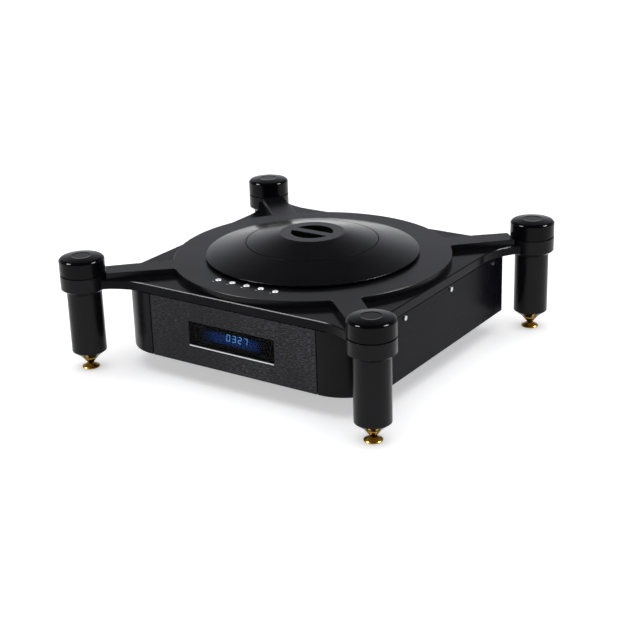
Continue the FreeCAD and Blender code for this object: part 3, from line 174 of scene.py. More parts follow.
def scaled(colour, factor):
    return tone(*[min(1.0, channel * factor) for channel in colour[:3]])


print("a mid grey, and the same a fifth darker:", tone(0.2, 0.2, 0.2), scaled(tone(0.2, 0.2, 0.2), 0.8))


# %% [markdown]
# ## Rings from the lathe
#
# The pillars, their caps and the two cones of the lid are turned, and a turned surface keeps a fine
# thread of tool marks. Real grooves would need millions of faces. A sine wave of the distance from the
# part's axis plus the height gives the same glints as a bump, and it runs on from a face to a wall.
# Folding x and y about the middle lets one formula serve all four pillars.

# %% Tool marks round an axis
def distance(graph, first, second):
    return graph.math("SQRT", graph.plus(graph.times(first, first), graph.times(second, second)))


def radius_from(graph, x, y, mirrored):
    """Distance from an upright axis, or from four axes mirrored about the middle."""
    along_x, along_y, _ = graph.xyz()
    if mirrored:
        along_x = graph.math("ABSOLUTE", along_x)
        along_y = graph.math("ABSOLUTE", along_y)
    return distance(graph, graph.minus(along_x, x), graph.minus(along_y, y))


def lathe_rings(graph, under, x, y, mirrored, pitch, depth):
    """A slightly uneven thread of tool marks, laid over another normal."""
    travel = graph.plus(radius_from(graph, x, y, mirrored), graph.xyz()[2])
    drift = graph.times(graph.noise(90.0, detail=1.0), 1.2 * MM)
    turns = graph.math("DIVIDE", graph.plus(travel, drift), pitch)
    wave = graph.math("SINE", graph.times(turns, 2 * math.pi))
    return bump(graph, graph.times(wave, 0.5), depth, 0.5, under)


def middle(name):
    low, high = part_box(name)
    return (low + high) / 2


PILLAR = middle("pillar_rear_right")
ON_PILLARS = {"x": PILLAR.x, "y": PILLAR.y, "mirrored": True, "pitch": 0.5 * MM, "depth": 0.010 * MM}
ON_LID = {"x": 0.0, "y": 0.0, "mirrored": False, "pitch": 0.7 * MM, "depth": 0.006 * MM}
print("pillars turned about x and y", [round(v / MM, 2) for v in PILLAR.xy], "mm")


# %% [markdown]
# ## Black anodised aluminium
#
# The oxide on anodised aluminium is a clear, slightly rough layer over a nearly black dye, so its look
# comes from what it reflects. It could be made as a dark metal, but a metal tints and strengthens its
# reflections. A plain dark base with a low specular level stays as deep as the real oxide. Clouds in the
# dye and a fine speckle keep the large faces from looking like plastic.

# %% A black oxide in several degrees of polish
def black_metal(name, colour, rough, specular=0.13, grain=0.008 * MM, rings=None, edge=0.0):
    graph = Graph(name)
    clouds = graph.noise(14.0, detail=3.0)
    speckle = graph.noise(2600.0)
    uneven = 0.12
    dull = spread(graph, clouds, rough * (1 - uneven), rough * (1 + uneven))
    dull = graph.plus(dull, spread(graph, speckle, -0.025, 0.025))
    normal = bump(graph, speckle, grain, 0.35, eased(graph, edge) if edge else None)
    if rings:
        normal = lathe_rings(graph, normal, **rings)
    tint = mix(graph, spread(graph, clouds, 0.0, 1.0), scaled(colour, 0.82), scaled(colour, 1.2))
    graph.set(Base_Color=tint, Roughness=dull, Specular_IOR_Level=specular, Normal=normal, IOR=1.5)
    return graph.material


BLACK = tone(0.0042, 0.0042, 0.0050)
DEEP_BLACK = tone(0.0018, 0.0018, 0.0024)
anodised = black_metal("anodised_black", BLACK, 0.29, edge=0.4 * MM)
arm_black = black_metal("anodised_black_arms", BLACK, 0.16, specular=0.06, edge=0.4 * MM)
pillar_black = black_metal("anodised_black_turned", BLACK, 0.22, rings=ON_PILLARS)
lid_black = black_metal("anodised_black_lid", BLACK, 0.20, specular=0.16, rings=ON_LID)
cheek_black = black_metal("anodised_black_cheek", BLACK, 0.28, specular=0.10, edge=0.5 * MM)
cap_black = black_metal(
    "polished_black_cap", DEEP_BLACK, 0.10, specular=0.10, grain=0.004 * MM, rings=ON_PILLARS,
)
print("black finishes:", anodised.name, pillar_black.name, lid_black.name, cap_black.name)


# %% [markdown]
# ## The brushed front plate
#
# The plate between the cheeks is brushed from side to side before it is anodised, and it sparkles more
# toward one end, where the light grazes it. Streaked noise could go into the bump alone, but a bump this
# fine is lost at arm's length. So the same streaks are also painted into the colour as a painted highlight:
# bright glints on the real grain, in patches, growing toward the right end, where the light grazes the plate.

# %% Fine scratches over a coarser grain
def brushed_front(name, colour, rough):
    graph = Graph(name)
    scratches = graph.streaks((60.0, 900.0, 2600.0), detail=3.0, roughness=0.6)
    grain = graph.streaks((210.0, 900.0, 800.0), detail=2.0, roughness=0.7)
    both = graph.plus(graph.times(scratches, 0.4), graph.times(grain, 0.6))
    # Painted light: the glints grow brighter toward the right end, where the light grazes the plate.
    painted_light_toward_right = spread(graph, graph.xyz()[0], 0.55, 1.0, start=-120 * MM, end=100 * MM)
    patches = spread(graph, graph.noise(9.0), 0.40, 1.0, start=0.40, end=0.60)
    glints = spread(graph, both, 0.0, 1.0, start=0.46, end=0.62)
    # Painted highlight: the brightest streaks of the grain are painted up to six times lighter, in patches
    # and more toward the right.
    painted_sparkle = graph.times(glints, graph.times(patches, painted_light_toward_right))
    tint = mix(graph, painted_sparkle, scaled(colour, 0.25), scaled(colour, 6.0))
    normal = bump(graph, both, 0.16 * MM, 0.5, eased(graph, 0.4 * MM))
    dull = spread(graph, both, rough + 0.08, rough - 0.08)
    graph.set(Base_Color=tint, Roughness=dull, Normal=normal, Specular_IOR_Level=0.15)
    return graph.material


front_black = brushed_front("brushed_black_front", tone(0.0106, 0.0106, 0.0130), 0.36)
print("front finish:", front_black.name)


# %% [markdown]
# ## Powder-coated panels
#
# The side panels, the rear panel, the bottom and the disc's well are sheet metal with a baked black
# powder. The powder flows into a very fine orange peel as it melts. A small noise in the bump gives it,
# and a slower one varies the gloss as on a sheet that has been handled.

# %% Black powder coat
def powder_coat(name, colour, rough, specular):
    graph = Graph(name)
    peel = graph.noise(850.0)
    clouds = graph.noise(11.0)
    tint = mix(graph, spread(graph, clouds, 0.0, 1.0), scaled(colour, 0.85), scaled(colour, 1.15))
    dull = spread(graph, graph.noise(60.0), rough - 0.03, rough + 0.03)
    normal = bump(graph, peel, 0.004 * MM, 0.3, eased(graph, 0.4 * MM))
    graph.set(Base_Color=tint, Roughness=dull, Normal=normal, Specular_IOR_Level=specular)
    return graph.material


# Painted shade: the side panels get a darker copy of the same black powder as the rear panel and the bottom.
side_black_painted_shade = powder_coat("case_black_sides", tone(0.0036, 0.0036, 0.0062), 0.25, specular=0.04)
panel_black = powder_coat("case_black", tone(0.0050, 0.0050, 0.0068), 0.32, specular=0.10)
print("case finishes:", side_black_painted_shade.name, panel_black.name)


# %% [markdown]
# ## Bright metals
#
# The spikes and shoes are polished brass, the screws and guide rods bright steel, and the turntable and
# the strip under the window brushed silver. All of them are the same recipe: a metal's colour with faint
# stains, and marks that vary the gloss. The buttons are only partly metallic, because their satin tops
# have to look pale from every side and not mirror the dark lid behind them.

# %% Brass, steel, silver and the buttons
def metal(name, colour, rough, brushed=None, depth=0.01 * MM, metallic=1.0):
    graph = Graph(name)
    if brushed:
        marks = graph.streaks(brushed, detail=3.0, roughness=0.6)
    else:
        marks = graph.noise(600.0, detail=3.0)
    stains = graph.noise(45.0, detail=3.0)
    tint = mix(graph, spread(graph, stains, 0.0, 1.0), scaled(colour, 0.86), scaled(colour, 1.06))
    wear = graph.plus(marks, graph.times(stains, 0.3))
    dull = spread(graph, wear, rough * 0.8, rough * 1.3, start=0.4, end=0.9)
    graph.set(Base_Color=tint, Metallic=metallic, Roughness=dull, Normal=bump(graph, marks, depth, 0.4))
    return graph.material


brass = metal("brass_polished", tone(0.32, 0.19, 0.040), 0.24, depth=0.006 * MM)
steel = metal("steel_bright", tone(0.56, 0.57, 0.58), 0.24)
zinc = metal("steel_zinc", tone(0.46, 0.47, 0.48), 0.40)
silver = metal("silver_brushed", tone(0.66, 0.67, 0.68), 0.30, brushed=(60.0, 900.0, 3200.0))
button_metal = metal("button_satin", tone(0.92, 0.92, 0.93), 0.36, metallic=0.35)
print("bright metals:", brass.name, steel.name, zinc.name, silver.name, button_metal.name)


# %% [markdown]
# ## Plastics, rubber and ceramic
#
# Moulded pieces copy the surface of their mould, so their grain is even, and only its size, its depth and
# the gloss tell a soft rubber from a glazed ceramic. One function with those three numbers covers the
# clamp, the gears, the seal, the capacitors' sleeves and the valves' sockets.

# %% Moulded and glazed finishes
def moulded(name, colour, rough, texture=400.0, depth=0.02 * MM, specular=0.5):
    graph = Graph(name)
    surface = graph.noise(texture, detail=3.0)
    clouds = graph.noise(25.0)
    tint = mix(graph, spread(graph, clouds, 0.0, 1.0), scaled(colour, 0.9), scaled(colour, 1.1))
    dull = spread(graph, surface, rough - 0.04, rough + 0.04)
    normal = bump(graph, surface, depth, 0.4)
    graph.set(Base_Color=tint, Roughness=dull, Normal=normal, Specular_IOR_Level=specular)
    return graph.material


rubber = moulded("rubber_soft", tone(0.012, 0.012, 0.012), 0.72, 900.0, 0.05 * MM)
black_plastic = moulded("plastic_matte_black", tone(0.014, 0.014, 0.015), 0.52)
gloss_plastic = moulded("plastic_gloss_black", tone(0.010, 0.010, 0.011), 0.20, 90.0, 0.01 * MM, specular=0.2)
white_plastic = moulded("plastic_natural_white", tone(0.72, 0.71, 0.66), 0.42)
lens_plastic = moulded("lens_holder_black", tone(0.02, 0.02, 0.024), 0.30)
ceramic = moulded("ceramic_glazed", tone(0.78, 0.76, 0.70), 0.16, 200.0, 0.01 * MM)
sleeve = moulded("capacitor_sleeve_blue", tone(0.018, 0.045, 0.14), 0.26, 300.0, 0.01 * MM)
print("moulded finishes:", rubber.name, black_plastic.name, white_plastic.name, ceramic.name, sleeve.name)


# %% [markdown]
# ## Circuit boards
#
# A board is green varnish over copper tracks, with tinned pads where parts are soldered. Real tracks
# follow a drawing that nobody sees here. The cells of a Voronoi texture measured along the axes give a
# maze of square turns: bands of the distance to a cell's centre become tracks, and the centres pads.

# %% Tracks and pads
def circuit_board(name):
    graph = Graph(name)
    cells = graph.node("TexVoronoi", {"Vector": graph.place, "Scale": 260.0}, distance="CHEBYCHEV")
    from_centre = cells.outputs["Distance"]
    tracks = graph.math("LESS_THAN", graph.math("FRACT", graph.times(from_centre, 3.0)), 0.42)
    pads = graph.math("LESS_THAN", from_centre, 0.11)
    varnish = mix(graph, tracks, tone(0.010, 0.072, 0.030), tone(0.022, 0.125, 0.050))
    tint = mix(graph, pads, varnish, tone(0.62, 0.60, 0.56))
    graph.set(Base_Color=tint, Metallic=pads, Roughness=0.34, Normal=bump(graph, tracks, 0.03 * MM, 0.5))
    return graph.material


board = circuit_board("circuit_board_green")
print("board finish:", board.name)


# %% [markdown]
# ## The transformer's tape
#
# A ring transformer is wound with overlapping turns of yellow varnished tape. The turns could be modelled
# one by one, but only their steps show. The angle round the ring, cut into equal laps, gives each turn a
# sloping face with a sharp edge in the bump, and a colour that runs from dark to light across each turn,
# a painted shade at the foot of each step.

# %% Overlapping turns round a ring
def wound_tape(name, laps):
    graph = Graph(name)
    centre = middle("transformer")
    x, y, _ = graph.xyz()
    angle = graph.math("ARCTAN2", graph.minus(y, centre.y), graph.minus(x, centre.x))
    turn = graph.math("DIVIDE", angle, 2 * math.pi)
    lap = graph.math("FRACT", graph.times(turn, laps))
    # Painted shade: each turn is painted darker at the foot of its step and lighter toward its raised edge.
    tint = mix(graph, lap, tone(0.42, 0.27, 0.055), tone(0.62, 0.44, 0.12))
    graph.set(Base_Color=tint, Roughness=0.28, Normal=bump(graph, lap, 0.4 * MM, 0.8), Coat_Weight=0.4)
    return graph.material


winding = wound_tape("transformer_tape", laps=46.0)
print("transformer finish:", winding.name)


# %% [markdown]
# ## The smoked window
#
# The display sits behind a thin smoked pane. Glass as a mix of shaders would do, but the Principled
# shader's transmission stays right when the model is exported. The pane has to darken the digits and
# give a faint reflection, and no more. So its index of refraction is far below that of real glass, which
# would shift and double the digits behind it.

# %% Smoked glass
def smoked_window(name):
    graph = Graph(name)
    smoke = mix(graph, graph.noise(30.0, detail=3.0), tone(0.105, 0.120, 0.145), tone(0.115, 0.130, 0.155))
    dull = spread(graph, graph.noise(50.0), 0.0004, 0.0012)
    graph.set(Base_Color=smoke, Transmission_Weight=1.0, IOR=1.12, Roughness=dull)
    return graph.material


window_glass = smoked_window("window_smoked")
print("window finish:", window_glass.name)


# %% [markdown]
# ## The lit display tube
#
# A vacuum tube display glows blue all over its lit part, which is wider than the digits, and fades
# toward its rim. The grid wires in front of it show as fine dark upright lines. Four soft steps make the
# fading rectangle, a sine wave the wires, and only the face toward the window shines.

# %% A soft blue glow behind fine wires
def soft_step(graph, value, start, end):
    return spread(graph, value, 0.0, 1.0, start, end, easing="SMOOTHSTEP")


GLOW_LEFT = (-46 * MM, -20 * MM)
GLOW_RIGHT = (44 * MM, 26 * MM)
GLOW_RIM, GLOW_FULL = 0.5 * MM, 5.5 * MM
WIRE_PITCH = 2.2 * MM


def lit_tube(name):
    graph = Graph(name)
    x, y, z = graph.xyz()
    low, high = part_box("display_tube")
    across = graph.times(soft_step(graph, x, *GLOW_LEFT), soft_step(graph, x, *GLOW_RIGHT))
    bottom = soft_step(graph, z, low.z + GLOW_RIM, low.z + GLOW_FULL)
    top = soft_step(graph, z, high.z - GLOW_RIM, high.z - GLOW_FULL)
    front_face = graph.math("LESS_THAN", y, low.y + 0.4 * MM)
    ripple = graph.math("SINE", graph.times(x, 2 * math.pi / WIRE_PITCH))
    wires = spread(graph, ripple, 0.55, 1.0, start=-0.6, end=0.4)
    glow = graph.times(across, graph.times(bottom, top))
    glow = graph.times(graph.times(glow, wires), graph.times(front_face, 0.9))
    murk = graph.noise(120.0, detail=1.0)
    tint = mix(graph, murk, tone(0.0010, 0.0014, 0.0022), tone(0.0015, 0.0020, 0.0032))
    graph.set(Base_Color=tint, Roughness=0.30, Specular_IOR_Level=0.0)
    graph.set(Emission_Color=tone(0.03, 0.15, 0.62), Emission_Strength=glow)
    return graph.material


tube_lit = lit_tube("display_tube_lit")
print("tube finish:", tube_lit.name)


# %% [markdown]
# ## Glass valves
#
# One solid stands for a whole valve, so its materials are told apart by height. The glass is clear at
# the foot, grey plates show in the middle, and the top is silvered by the getter, the metal that is
# flashed onto the glass to keep the vacuum. Steps of the height do it without cutting the mesh.

# %% Plates and a silvered top
def valve_glass(name):
    graph = Graph(name)
    low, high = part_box("audio_valves")
    height = spread(graph, graph.xyz()[2], 0.0, 1.0, low.z, high.z)
    silvered = soft_step(graph, height, 0.72, 0.86)
    plates = graph.times(soft_step(graph, height, 0.10, 0.22), soft_step(graph, height, 0.66, 0.58))
    tint = mix(graph, plates, tone(0.42, 0.45, 0.46), tone(0.045, 0.046, 0.050))
    tint = mix(graph, silvered, tint, tone(0.62, 0.62, 0.64))
    graph.set(Base_Color=tint, Metallic=graph.times(silvered, 0.9), Roughness=0.12, Coat_Weight=1.0)
    return graph.material


valve = valve_glass("valve_glass")
print("valve finish:", valve.name)


# %% [markdown]
# ## Output sockets
#
# Each socket is a gilt barrel with a coloured insulator round its centre contact: white for left, red
# for right and orange for the digital one. The three are a single CAD part. The distance to the nearest
# socket's axis picks out the insulators, and x tells which of the three colours applies.

# %% Gilt barrels with coloured insulators
SOCKET_X = (60 * MM, 85 * MM, 125 * MM)
INSULATOR_INSIDE, INSULATOR_OUTSIDE = 1.8 * MM, 3.45 * MM


def phono_socket(name):
    graph = Graph(name)
    x, _, z = graph.xyz()
    away_z = graph.minus(z, middle("rca_sockets").z)
    left, right, digital = [distance(graph, graph.minus(x, axis), away_z) for axis in SOCKET_X]
    nearest = graph.math("MINIMUM", graph.math("MINIMUM", left, right), digital)
    ring = graph.between(nearest, INSULATOR_INSIDE, INSULATOR_OUTSIDE)
    is_left = graph.math("LESS_THAN", x, (SOCKET_X[0] + SOCKET_X[1]) / 2)
    is_digital = graph.math("GREATER_THAN", x, (SOCKET_X[1] + SOCKET_X[2]) / 2)
    insulator = mix(graph, is_left, tone(0.45, 0.015, 0.015), tone(0.72, 0.72, 0.70))
    insulator = mix(graph, is_digital, insulator, tone(0.62, 0.20, 0.01))
    tint = mix(graph, ring, tone(0.86, 0.62, 0.24), insulator)
    dull = spread(graph, graph.noise(600.0), 0.16, 0.26)
    graph.set(Base_Color=tint, Metallic=graph.minus(1.0, ring), Roughness=dull)
    return graph.material


phono = phono_socket("phono_socket")
print("socket finish:", phono.name)


# %% [markdown]
# ## The mains inlet
#
# The inlet is one moulding with three nickel pins standing in its socket. The pins are part of the same
# CAD solid, so a box round each of them, as a product of three ranges, turns the plastic into metal.

# %% Plastic with three bright pins
INLET_PINS = ((-139 * MM, 70.8 * MM), (-125 * MM, 70.8 * MM), (-132 * MM, 74.8 * MM))
PIN_HALF_WIDE, PIN_HALF_TALL = 1.15 * MM, 2.15 * MM
PIN_START, PIN_END = 146.04 * MM, 160.20 * MM


def inlet_with_pins(name):
    graph = Graph(name)
    x, y, z = graph.xyz()
    pins = 0.0
    for pin_x, pin_z in INLET_PINS:
        near_x = graph.math("LESS_THAN", graph.math("ABSOLUTE", graph.minus(x, pin_x)), PIN_HALF_WIDE)
        near_z = graph.math("LESS_THAN", graph.math("ABSOLUTE", graph.minus(z, pin_z)), PIN_HALF_TALL)
        pins = graph.math("MAXIMUM", pins, graph.times(near_x, near_z))
    pins = graph.times(pins, graph.between(y, PIN_START, PIN_END))
    plastic = mix(graph, graph.noise(25.0), tone(0.010, 0.010, 0.010), tone(0.013, 0.013, 0.014))
    tint = mix(graph, pins, plastic, tone(0.70, 0.68, 0.62))
    dull = spread(graph, graph.noise(900.0), 0.46, 0.54)
    graph.set(Base_Color=tint, Metallic=pins, Roughness=dull, Specular_IOR_Level=0.3)
    return graph.material


inlet = inlet_with_pins("mains_inlet_plastic")
print("inlet finish:", inlet.name)


# %% [markdown]
# ## Each CAD part gets its finish
#
# A table from finish to parts is easier to read and to check than sixty assignments, and it shows at a
# glance which parts share a finish. The last line tells whether a part has been forgotten.

# %% Hand out the finishes
QUARTERS = ("front_left", "front_right", "rear_left", "rear_right")
BUTTONS = [f"button_{number}" for number in range(1, 6)]
FINISH = {
    anodised: ["top_deck", "side_rails"],
    arm_black: ["arm_plate"],
    cheek_black: ["front_cheek_left", "front_cheek_right"],
    pillar_black: ["pillar_" + quarter for quarter in QUARTERS],
    cap_black: ["pillar_cap_" + quarter for quarter in QUARTERS],
    lid_black: ["lid", "lid_bezel"],
    front_black: ["front_panel"],
    side_black_painted_shade: ["side_panel_left", "side_panel_right"],
    panel_black: ["rear_panel", "bottom_cover", "disc_well"],
    brass: ["foot_spikes", "floor_shoes"],
    steel: ["panel_screws", "guide_rods"],
    zinc: ["tie_bolts", "spindle_motor", "mechanism_plate", "sled_motor"],
    silver: ["display_trim", "chassis_posts", "turntable"],
    button_metal: BUTTONS,
    rubber: ["lid_seal", "mechanism_dampers"],
    black_plastic: ["bezel_spacers", "clamp_cage", "clamp_puck", "laser_sled", "fuse_drawer"],
    gloss_plastic: ["power_rocker"],
    inlet: ["mains_inlet"],
    white_plastic: ["sled_gear", "motor_pinion"],
    lens_plastic: ["objective_lens"],
    ceramic: ["valve_sockets"],
    sleeve: ["filter_capacitors"],
    board: ["display_board", "button_board", "power_board", "audio_board"],
    winding: ["transformer"],
    window_glass: ["display_window"],
    tube_lit: ["display_tube"],
    valve: ["audio_valves"],
    phono: ["rca_sockets"],
}
for material, names in FINISH.items():
    for name in names:
        mesh = NODES[name].data
        mesh.materials.clear()
        mesh.materials.append(material)
dressed = {name for names in FINISH.values() for name in names}
print("parts without a finish:", sorted(set(NODES) - dressed) or "none")


# %% [markdown]
# ## Edges that catch the light
#
# No machined edge is perfectly sharp, and the thin bright line along it tells the eye how large a thing
# is. On turned parts, which are seen closest, a small bevel is cut by a modifier, so the CAD mesh stays
# as it is. The mesh comes as loose triangles, so a weld goes first. Weighted normals keep the large
# faces flat beside the bevel. Flat-sided parts already have eased edges in their shader.

# %% Bevels on the turned parts
EDGE_MM = {
    0.45: ["pillar_" + quarter for quarter in QUARTERS],
    0.90: ["lid_bezel", "lid"],
    0.20: ["turntable", "clamp_puck"] + BUTTONS,
}
SHALLOW = ("lid", "lid_bezel")
SHALLOW_ANGLE, USUAL_ANGLE = math.radians(9), math.radians(38)


def soften(name, width):
    part = NODES[name]
    weld = part.modifiers.new("weld", "WELD")
    weld.merge_threshold = 0.002 * MM
    bevel = part.modifiers.new("bevel", "BEVEL")
    bevel.width = width
    bevel.segments = 2
    bevel.limit_method = "ANGLE"
    bevel.angle_limit = SHALLOW_ANGLE if name in SHALLOW else USUAL_ANGLE
    bevel.use_clamp_overlap = True
    normals = part.modifiers.new("normals", "WEIGHTED_NORMAL")
    normals.keep_sharp = False
    normals.weight = 80


for width, names in EDGE_MM.items():
    for name in names:
        soften(name, width * MM)
print(sum(len(names) for names in EDGE_MM.values()), "parts with softened edges")


# %% [markdown]
# ## Thin plates
#
# The lit digits and the printed marks are flat shapes with almost no thickness. A font would bring its
# own outlines, so each shape is drawn here by its few corners. Every outline becomes one face, and
# solidify then thickens all faces at once. It pushes along the normals, and new faces have none until
# they are updated. It also lists the faces of the rims in another order each time, so all faces are
# sorted by their corners, and every run gives the same mesh.

# %% From outlines to a finished piece
MANY = 100000


def corner_order(face):
    corners = [vertex.index for vertex in face.verts]
    return min(corners) * MANY + max(corners)


def plates_from(outlines, thickness):
    plates = bmesh.new()
    faces = [plates.faces.new([plates.verts.new(corner) for corner in outline]) for outline in outlines]
    plates.normal_update()
    bmesh.ops.solidify(plates, geom=faces, thickness=thickness)
    bmesh.ops.recalc_face_normals(plates, faces=plates.faces)
    plates.verts.index_update()
    plates.faces.sort(key=corner_order)
    return plates


def finish_piece(name, mesh, body, material):
    data = bpy.data.meshes.new(name)
    mesh.to_mesh(data)
    mesh.free()
    piece = bpy.data.objects.new(name, data)
    bpy.context.scene.collection.objects.link(piece)
    data.materials.append(material)
    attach(piece, body)
    return piece


print("plates can be made")


# %% [markdown]
# ## Seven-segment digits
#
# The display shows a playing time in four digits. Each digit lights some of seven strokes, and a stroke
# is a bar with pointed ends, so that two strokes meet with a thin dark gap. The digits lean a little to
# the right, as on most displays of this kind.

# %% The strokes of a digit
DIGIT_WIDE, DIGIT_TALL, DIGIT_PITCH = 4.2 * MM, 7.6 * MM, 8.1 * MM
STROKE = 0.56 * MM
SLANT = math.tan(math.radians(7))
SEGMENTS = {
    "0": "abcdef", "1": "bc", "2": "abged", "3": "abgcd", "4": "fgbc",
    "5": "afgcd", "6": "afgedc", "7": "abc", "8": "abcdefg", "9": "abcdfg",
}
CORNERS = {
    "bottom left": (0, 0), "bottom right": (DIGIT_WIDE, 0),
    "middle left": (0, DIGIT_TALL / 2), "middle right": (DIGIT_WIDE, DIGIT_TALL / 2),
    "top left": (0, DIGIT_TALL), "top right": (DIGIT_WIDE, DIGIT_TALL),
}
STROKES = {
    "a": ("top left", "top right"), "b": ("middle right", "top right"), "c": ("bottom right", "middle right"),
    "d": ("bottom left", "bottom right"), "e": ("bottom left", "middle left"),
    "f": ("middle left", "top left"), "g": ("middle left", "middle right"),
}


def bar_outline(start, end):
    """A six-sided bar with pointed ends between two points."""
    start, end = Vector(start), Vector(end)
    along = (end - start).normalized()
    side = Vector((-along.y, along.x)) * STROKE / 2
    gap, tip = along * STROKE * 0.18, along * STROKE / 2
    first, last = start + gap, end - gap
    return [first, first + tip - side, last - tip - side, last, last - tip + side, first + tip + side]


print("a digit is", round(DIGIT_WIDE / MM, 2), "by", round(DIGIT_TALL / MM, 2), "mm")


# %% [markdown]
# ## The digits light up
#
# The digits stand a tenth of a millimetre in front of the tube's glass and shine on their own, much
# brighter than the glow behind them, so they stay readable through the smoked window. A faint grain in
# the strength is the phosphor's.

# %% Four digits in front of the tube
DIGITS_LEFT, DIGITS_BASE = -8.2 * MM, 63.9 * MM
DIGIT_THICK, DIGIT_STAND_OFF = 0.05 * MM, 0.1 * MM


def lit_digit(name):
    graph = Graph(name)
    phosphor = spread(graph, graph.noise(2200.0, detail=1.0), 5.0, 6.0)
    graph.set(Base_Color=tone(0.30, 0.62, 0.66), Roughness=0.5)
    graph.set(Emission_Color=tone(0.22, 0.62, 1.0), Emission_Strength=phosphor)
    return graph.material


def digit_outlines(text, left, base, front):
    outlines = []
    for place, digit in enumerate(text):
        cursor = left + place * DIGIT_PITCH
        for segment in SEGMENTS[digit]:
            ends = [CORNERS[corner] for corner in STROKES[segment]]
            bar = bar_outline(*[(cursor + x + SLANT * z, base + z) for x, z in ends])
            outlines.append([(x, front, z) for x, z in bar])
    return outlines


digit_light = lit_digit("display_digit_light")
tube_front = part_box("display_tube")[0].y
outlines = digit_outlines("0327", DIGITS_LEFT, DIGITS_BASE, tube_front - DIGIT_STAND_OFF)
digits = plates_from(outlines, DIGIT_THICK)
finish_piece("display_digits", digits, "chassis", digit_light)
print(len(outlines), "strokes in front of the tube at y", round(tube_front / MM, 2), "mm")


# %% [markdown]
# ## Printed marks beside the buttons
#
# A tiny pale symbol stands in front of each button: play, pause, stop, back and forward. Ink could be a
# pattern in the deck's own finish, but a shape this small is sharper as a plate of its own, and the deck's
# formula stays simple.

# %% The symbols' outlines
def box_outline(left, bottom, right, top):
    return [(left, bottom), (right, bottom), (right, top), (left, top)]


def arrow_outline(back, point, y, half):
    return [(back, y - half), (point, y), (back, y + half)]


def symbol(kind, x, y, size):
    half = size / 2
    bar = size * 0.3
    if kind == "play":
        return [arrow_outline(x - half, x + half, y, half)]
    if kind == "stop":
        return [box_outline(x - half, y - half, x + half, y + half)]
    if kind == "pause":
        left = box_outline(x - half, y - half, x - half + bar, y + half)
        right = box_outline(x + half - bar, y - half, x + half, y + half)
        return [left, right]
    ahead = half if kind == "forward" else -half
    return [arrow_outline(x - ahead, x, y, half), arrow_outline(x, x + ahead, y, half)]


print("pause is drawn as", len(symbol("pause", 0, 0, 1)), "bars")


# %% Print the marks on the deck
MARK_ASIDE, MARK_BEFORE, MARK_SIZE = 2.4 * MM, 6.2 * MM, 2.4 * MM
INK_LIFT, INK_THICK = 0.03 * MM, 0.02 * MM
deck_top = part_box("top_deck")[1].z
outlines = []
for button, kind in zip(BUTTONS, ("play", "pause", "stop", "back", "forward")):
    centre = middle(button)
    for outline in symbol(kind, centre.x - MARK_ASIDE, centre.y - MARK_BEFORE, MARK_SIZE):
        outlines.append([(x, y, deck_top + INK_LIFT) for x, y in outline])
marks = plates_from(outlines, INK_THICK)
ink = moulded("printing_ink_white", tone(0.40, 0.40, 0.41), 0.5, 1500.0, 0.004 * MM)
finish_piece("button_marks", marks, "chassis", ink)
print("marks printed on the deck at z", round(deck_top / MM, 2), "mm")


# %% [markdown]
# ## The floor
#
# The player stands on seamless white paper. One large face is enough. The paper also shines a little by
# itself, which keeps it white where the player shades it, as a long exposure in a white room does.

# %% White paper
FLOOR_HALF = 9.0
floor_mesh = bmesh.new()
bmesh.ops.create_grid(floor_mesh, x_segments=1, y_segments=1, size=FLOOR_HALF)
floor_data = bpy.data.meshes.new("floor")
floor_mesh.to_mesh(floor_data)
floor_mesh.free()
floor = bpy.data.objects.new("floor", floor_data)
bpy.context.scene.collection.objects.link(floor)
paper = Graph("floor_paper")
paper_white = mix(paper, paper.noise(3.0), tone(0.88, 0.88, 0.88), tone(0.90, 0.90, 0.90))
paper.set(Base_Color=paper_white, Roughness=0.9, Specular_IOR_Level=0.0)
paper.set(Emission_Color=tone(1.0, 1.0, 1.0), Emission_Strength=0.45)
floor_data.materials.append(paper.material)
print("floor", 2 * FLOOR_HALF, "m across")


# %% [markdown]
# ## The studio's walls
#
# Black metal shows nothing but its surroundings, so the walls matter more than the lamps. They are bright
# near the floor and fall to almost black overhead. That leaves the deck dark and puts a soft sheen on
# every upright face. A ramp over the direction's height gives this without any extra objects.

# %% Bright walls under a dark ceiling
WALL_TONES = ((0.0, 0.86), (0.22, 0.74), (0.38, 0.47), (0.54, 0.23), (0.68, 0.07), (0.84, 0.05))
HORIZON = tone(0.95, 0.95, 0.95)
scene = bpy.context.scene
scene.view_settings.view_transform = "Standard"
world = bpy.data.worlds.new("studio")
scene.world = world
world.use_nodes = True
sky = world.node_tree
sky.nodes.clear()
direction = sky.nodes.new("ShaderNodeTexCoord")
split = sky.nodes.new("ShaderNodeSeparateXYZ")
fade = sky.nodes.new("ShaderNodeValToRGB")
light = sky.nodes.new("ShaderNodeBackground")
result = sky.nodes.new("ShaderNodeOutputWorld")
sky.links.new(direction.outputs["Generated"], split.inputs[0])
sky.links.new(split.outputs["Z"], fade.inputs[0])
sky.links.new(fade.outputs["Color"], light.inputs["Color"])
sky.links.new(light.outputs[0], result.inputs["Surface"])
ramp = fade.color_ramp.elements
ramp[0].position, ramp[1].position = WALL_TONES[0][0], WALL_TONES[1][0]
for height, _ in WALL_TONES[2:]:
    ramp.new(height)
for element, (height, bright) in zip(ramp, WALL_TONES):
    element.position = height
    element.color = tone(bright * 0.97, bright * 0.98, bright * 1.08) if height else HORIZON
print("walls in", len(ramp), "steps of brightness")


# %% [markdown]
# ## The lamps
#
# Two soft boxes stand to the sides of the camera's line. They draw the bright flanks on the lid and
# the pillars. Lamps strong enough for that would burn out the paper, so they are left out of diffuse
# light, and a wide fill from above, left out of reflections in its turn, lights the paper instead.

# %% Two soft boxes and a fill
CAMERA_TURN = math.radians(34.4847)


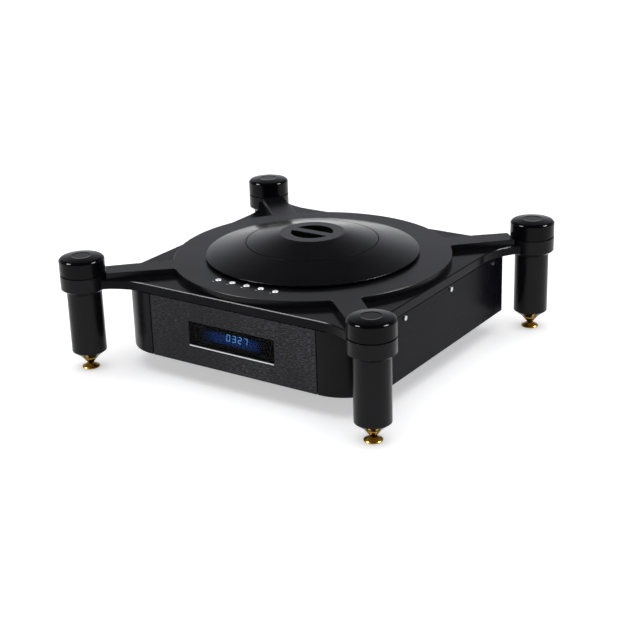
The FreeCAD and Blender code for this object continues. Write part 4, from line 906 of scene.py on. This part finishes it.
def direction_to(turn, rise):
    """The direction at an angle round the player from its front, and an angle above the floor."""
    return Vector((math.sin(turn) * math.cos(rise), -math.cos(turn) * math.cos(rise), math.sin(rise)))


def sun(name, width, strength):
    lamp = bpy.data.lights.new(name, "SUN")
    lamp.angle = math.radians(width)
    lamp.energy = strength
    stand = bpy.data.objects.new(name, lamp)
    scene.collection.objects.link(stand)
    return stand


for name, aside in (("key_left", -91), ("key_right", 91)):
    key = sun(name, width=16, strength=3.8)
    towards = direction_to(CAMERA_TURN + math.radians(aside), math.radians(50))
    key.location = towards * 3
    key.rotation_euler = towards.to_track_quat("Z", "Y").to_euler()
    key.visible_diffuse = False
fill = sun("fill", width=70, strength=2.2)
fill.visible_glossy = False
print("light: two soft boxes and a fill")


# %% [markdown]
# ## The camera
#
# The photograph's camera was found by matching about ninety points of the pillars, the lid, the deck and
# the case to the picture. It stands to the right of the front, looks down by about 21 degrees and is
# rolled by almost two. The focal length came out in pixels, so it is scaled to the sensor's width.

# %% Look from where the photograph was taken
EYE = Vector((0.912725, -1.338501, 0.665910))
CAMERA_RISE = 0.364806849
CAMERA_ROLL = math.radians(-1.8527)
FOCAL_PIXELS, PHOTO_PIXELS, SENSOR = 1411.777, 620, 36.0
back = direction_to(CAMERA_TURN, CAMERA_RISE)
right = Vector((0, 0, 1)).cross(back).normalized()
up = back.cross(right)
turned_right = right * math.cos(CAMERA_ROLL) + up * math.sin(CAMERA_ROLL)
turned_up = up * math.cos(CAMERA_ROLL) - right * math.sin(CAMERA_ROLL)
lens = bpy.data.cameras.new("camera")
lens.sensor_width = SENSOR
lens.lens = FOCAL_PIXELS / PHOTO_PIXELS * SENSOR
lens.clip_end = 60.0
camera = bpy.data.objects.new("camera", lens)
scene.collection.objects.link(camera)
basis = Matrix((turned_right, turned_up, back)).transposed().to_4x4()
camera.matrix_world = Matrix.Translation(EYE) @ basis
scene.camera = camera
print("camera at", [round(v, 3) for v in EYE], "lens", round(lens.lens, 2), "mm")
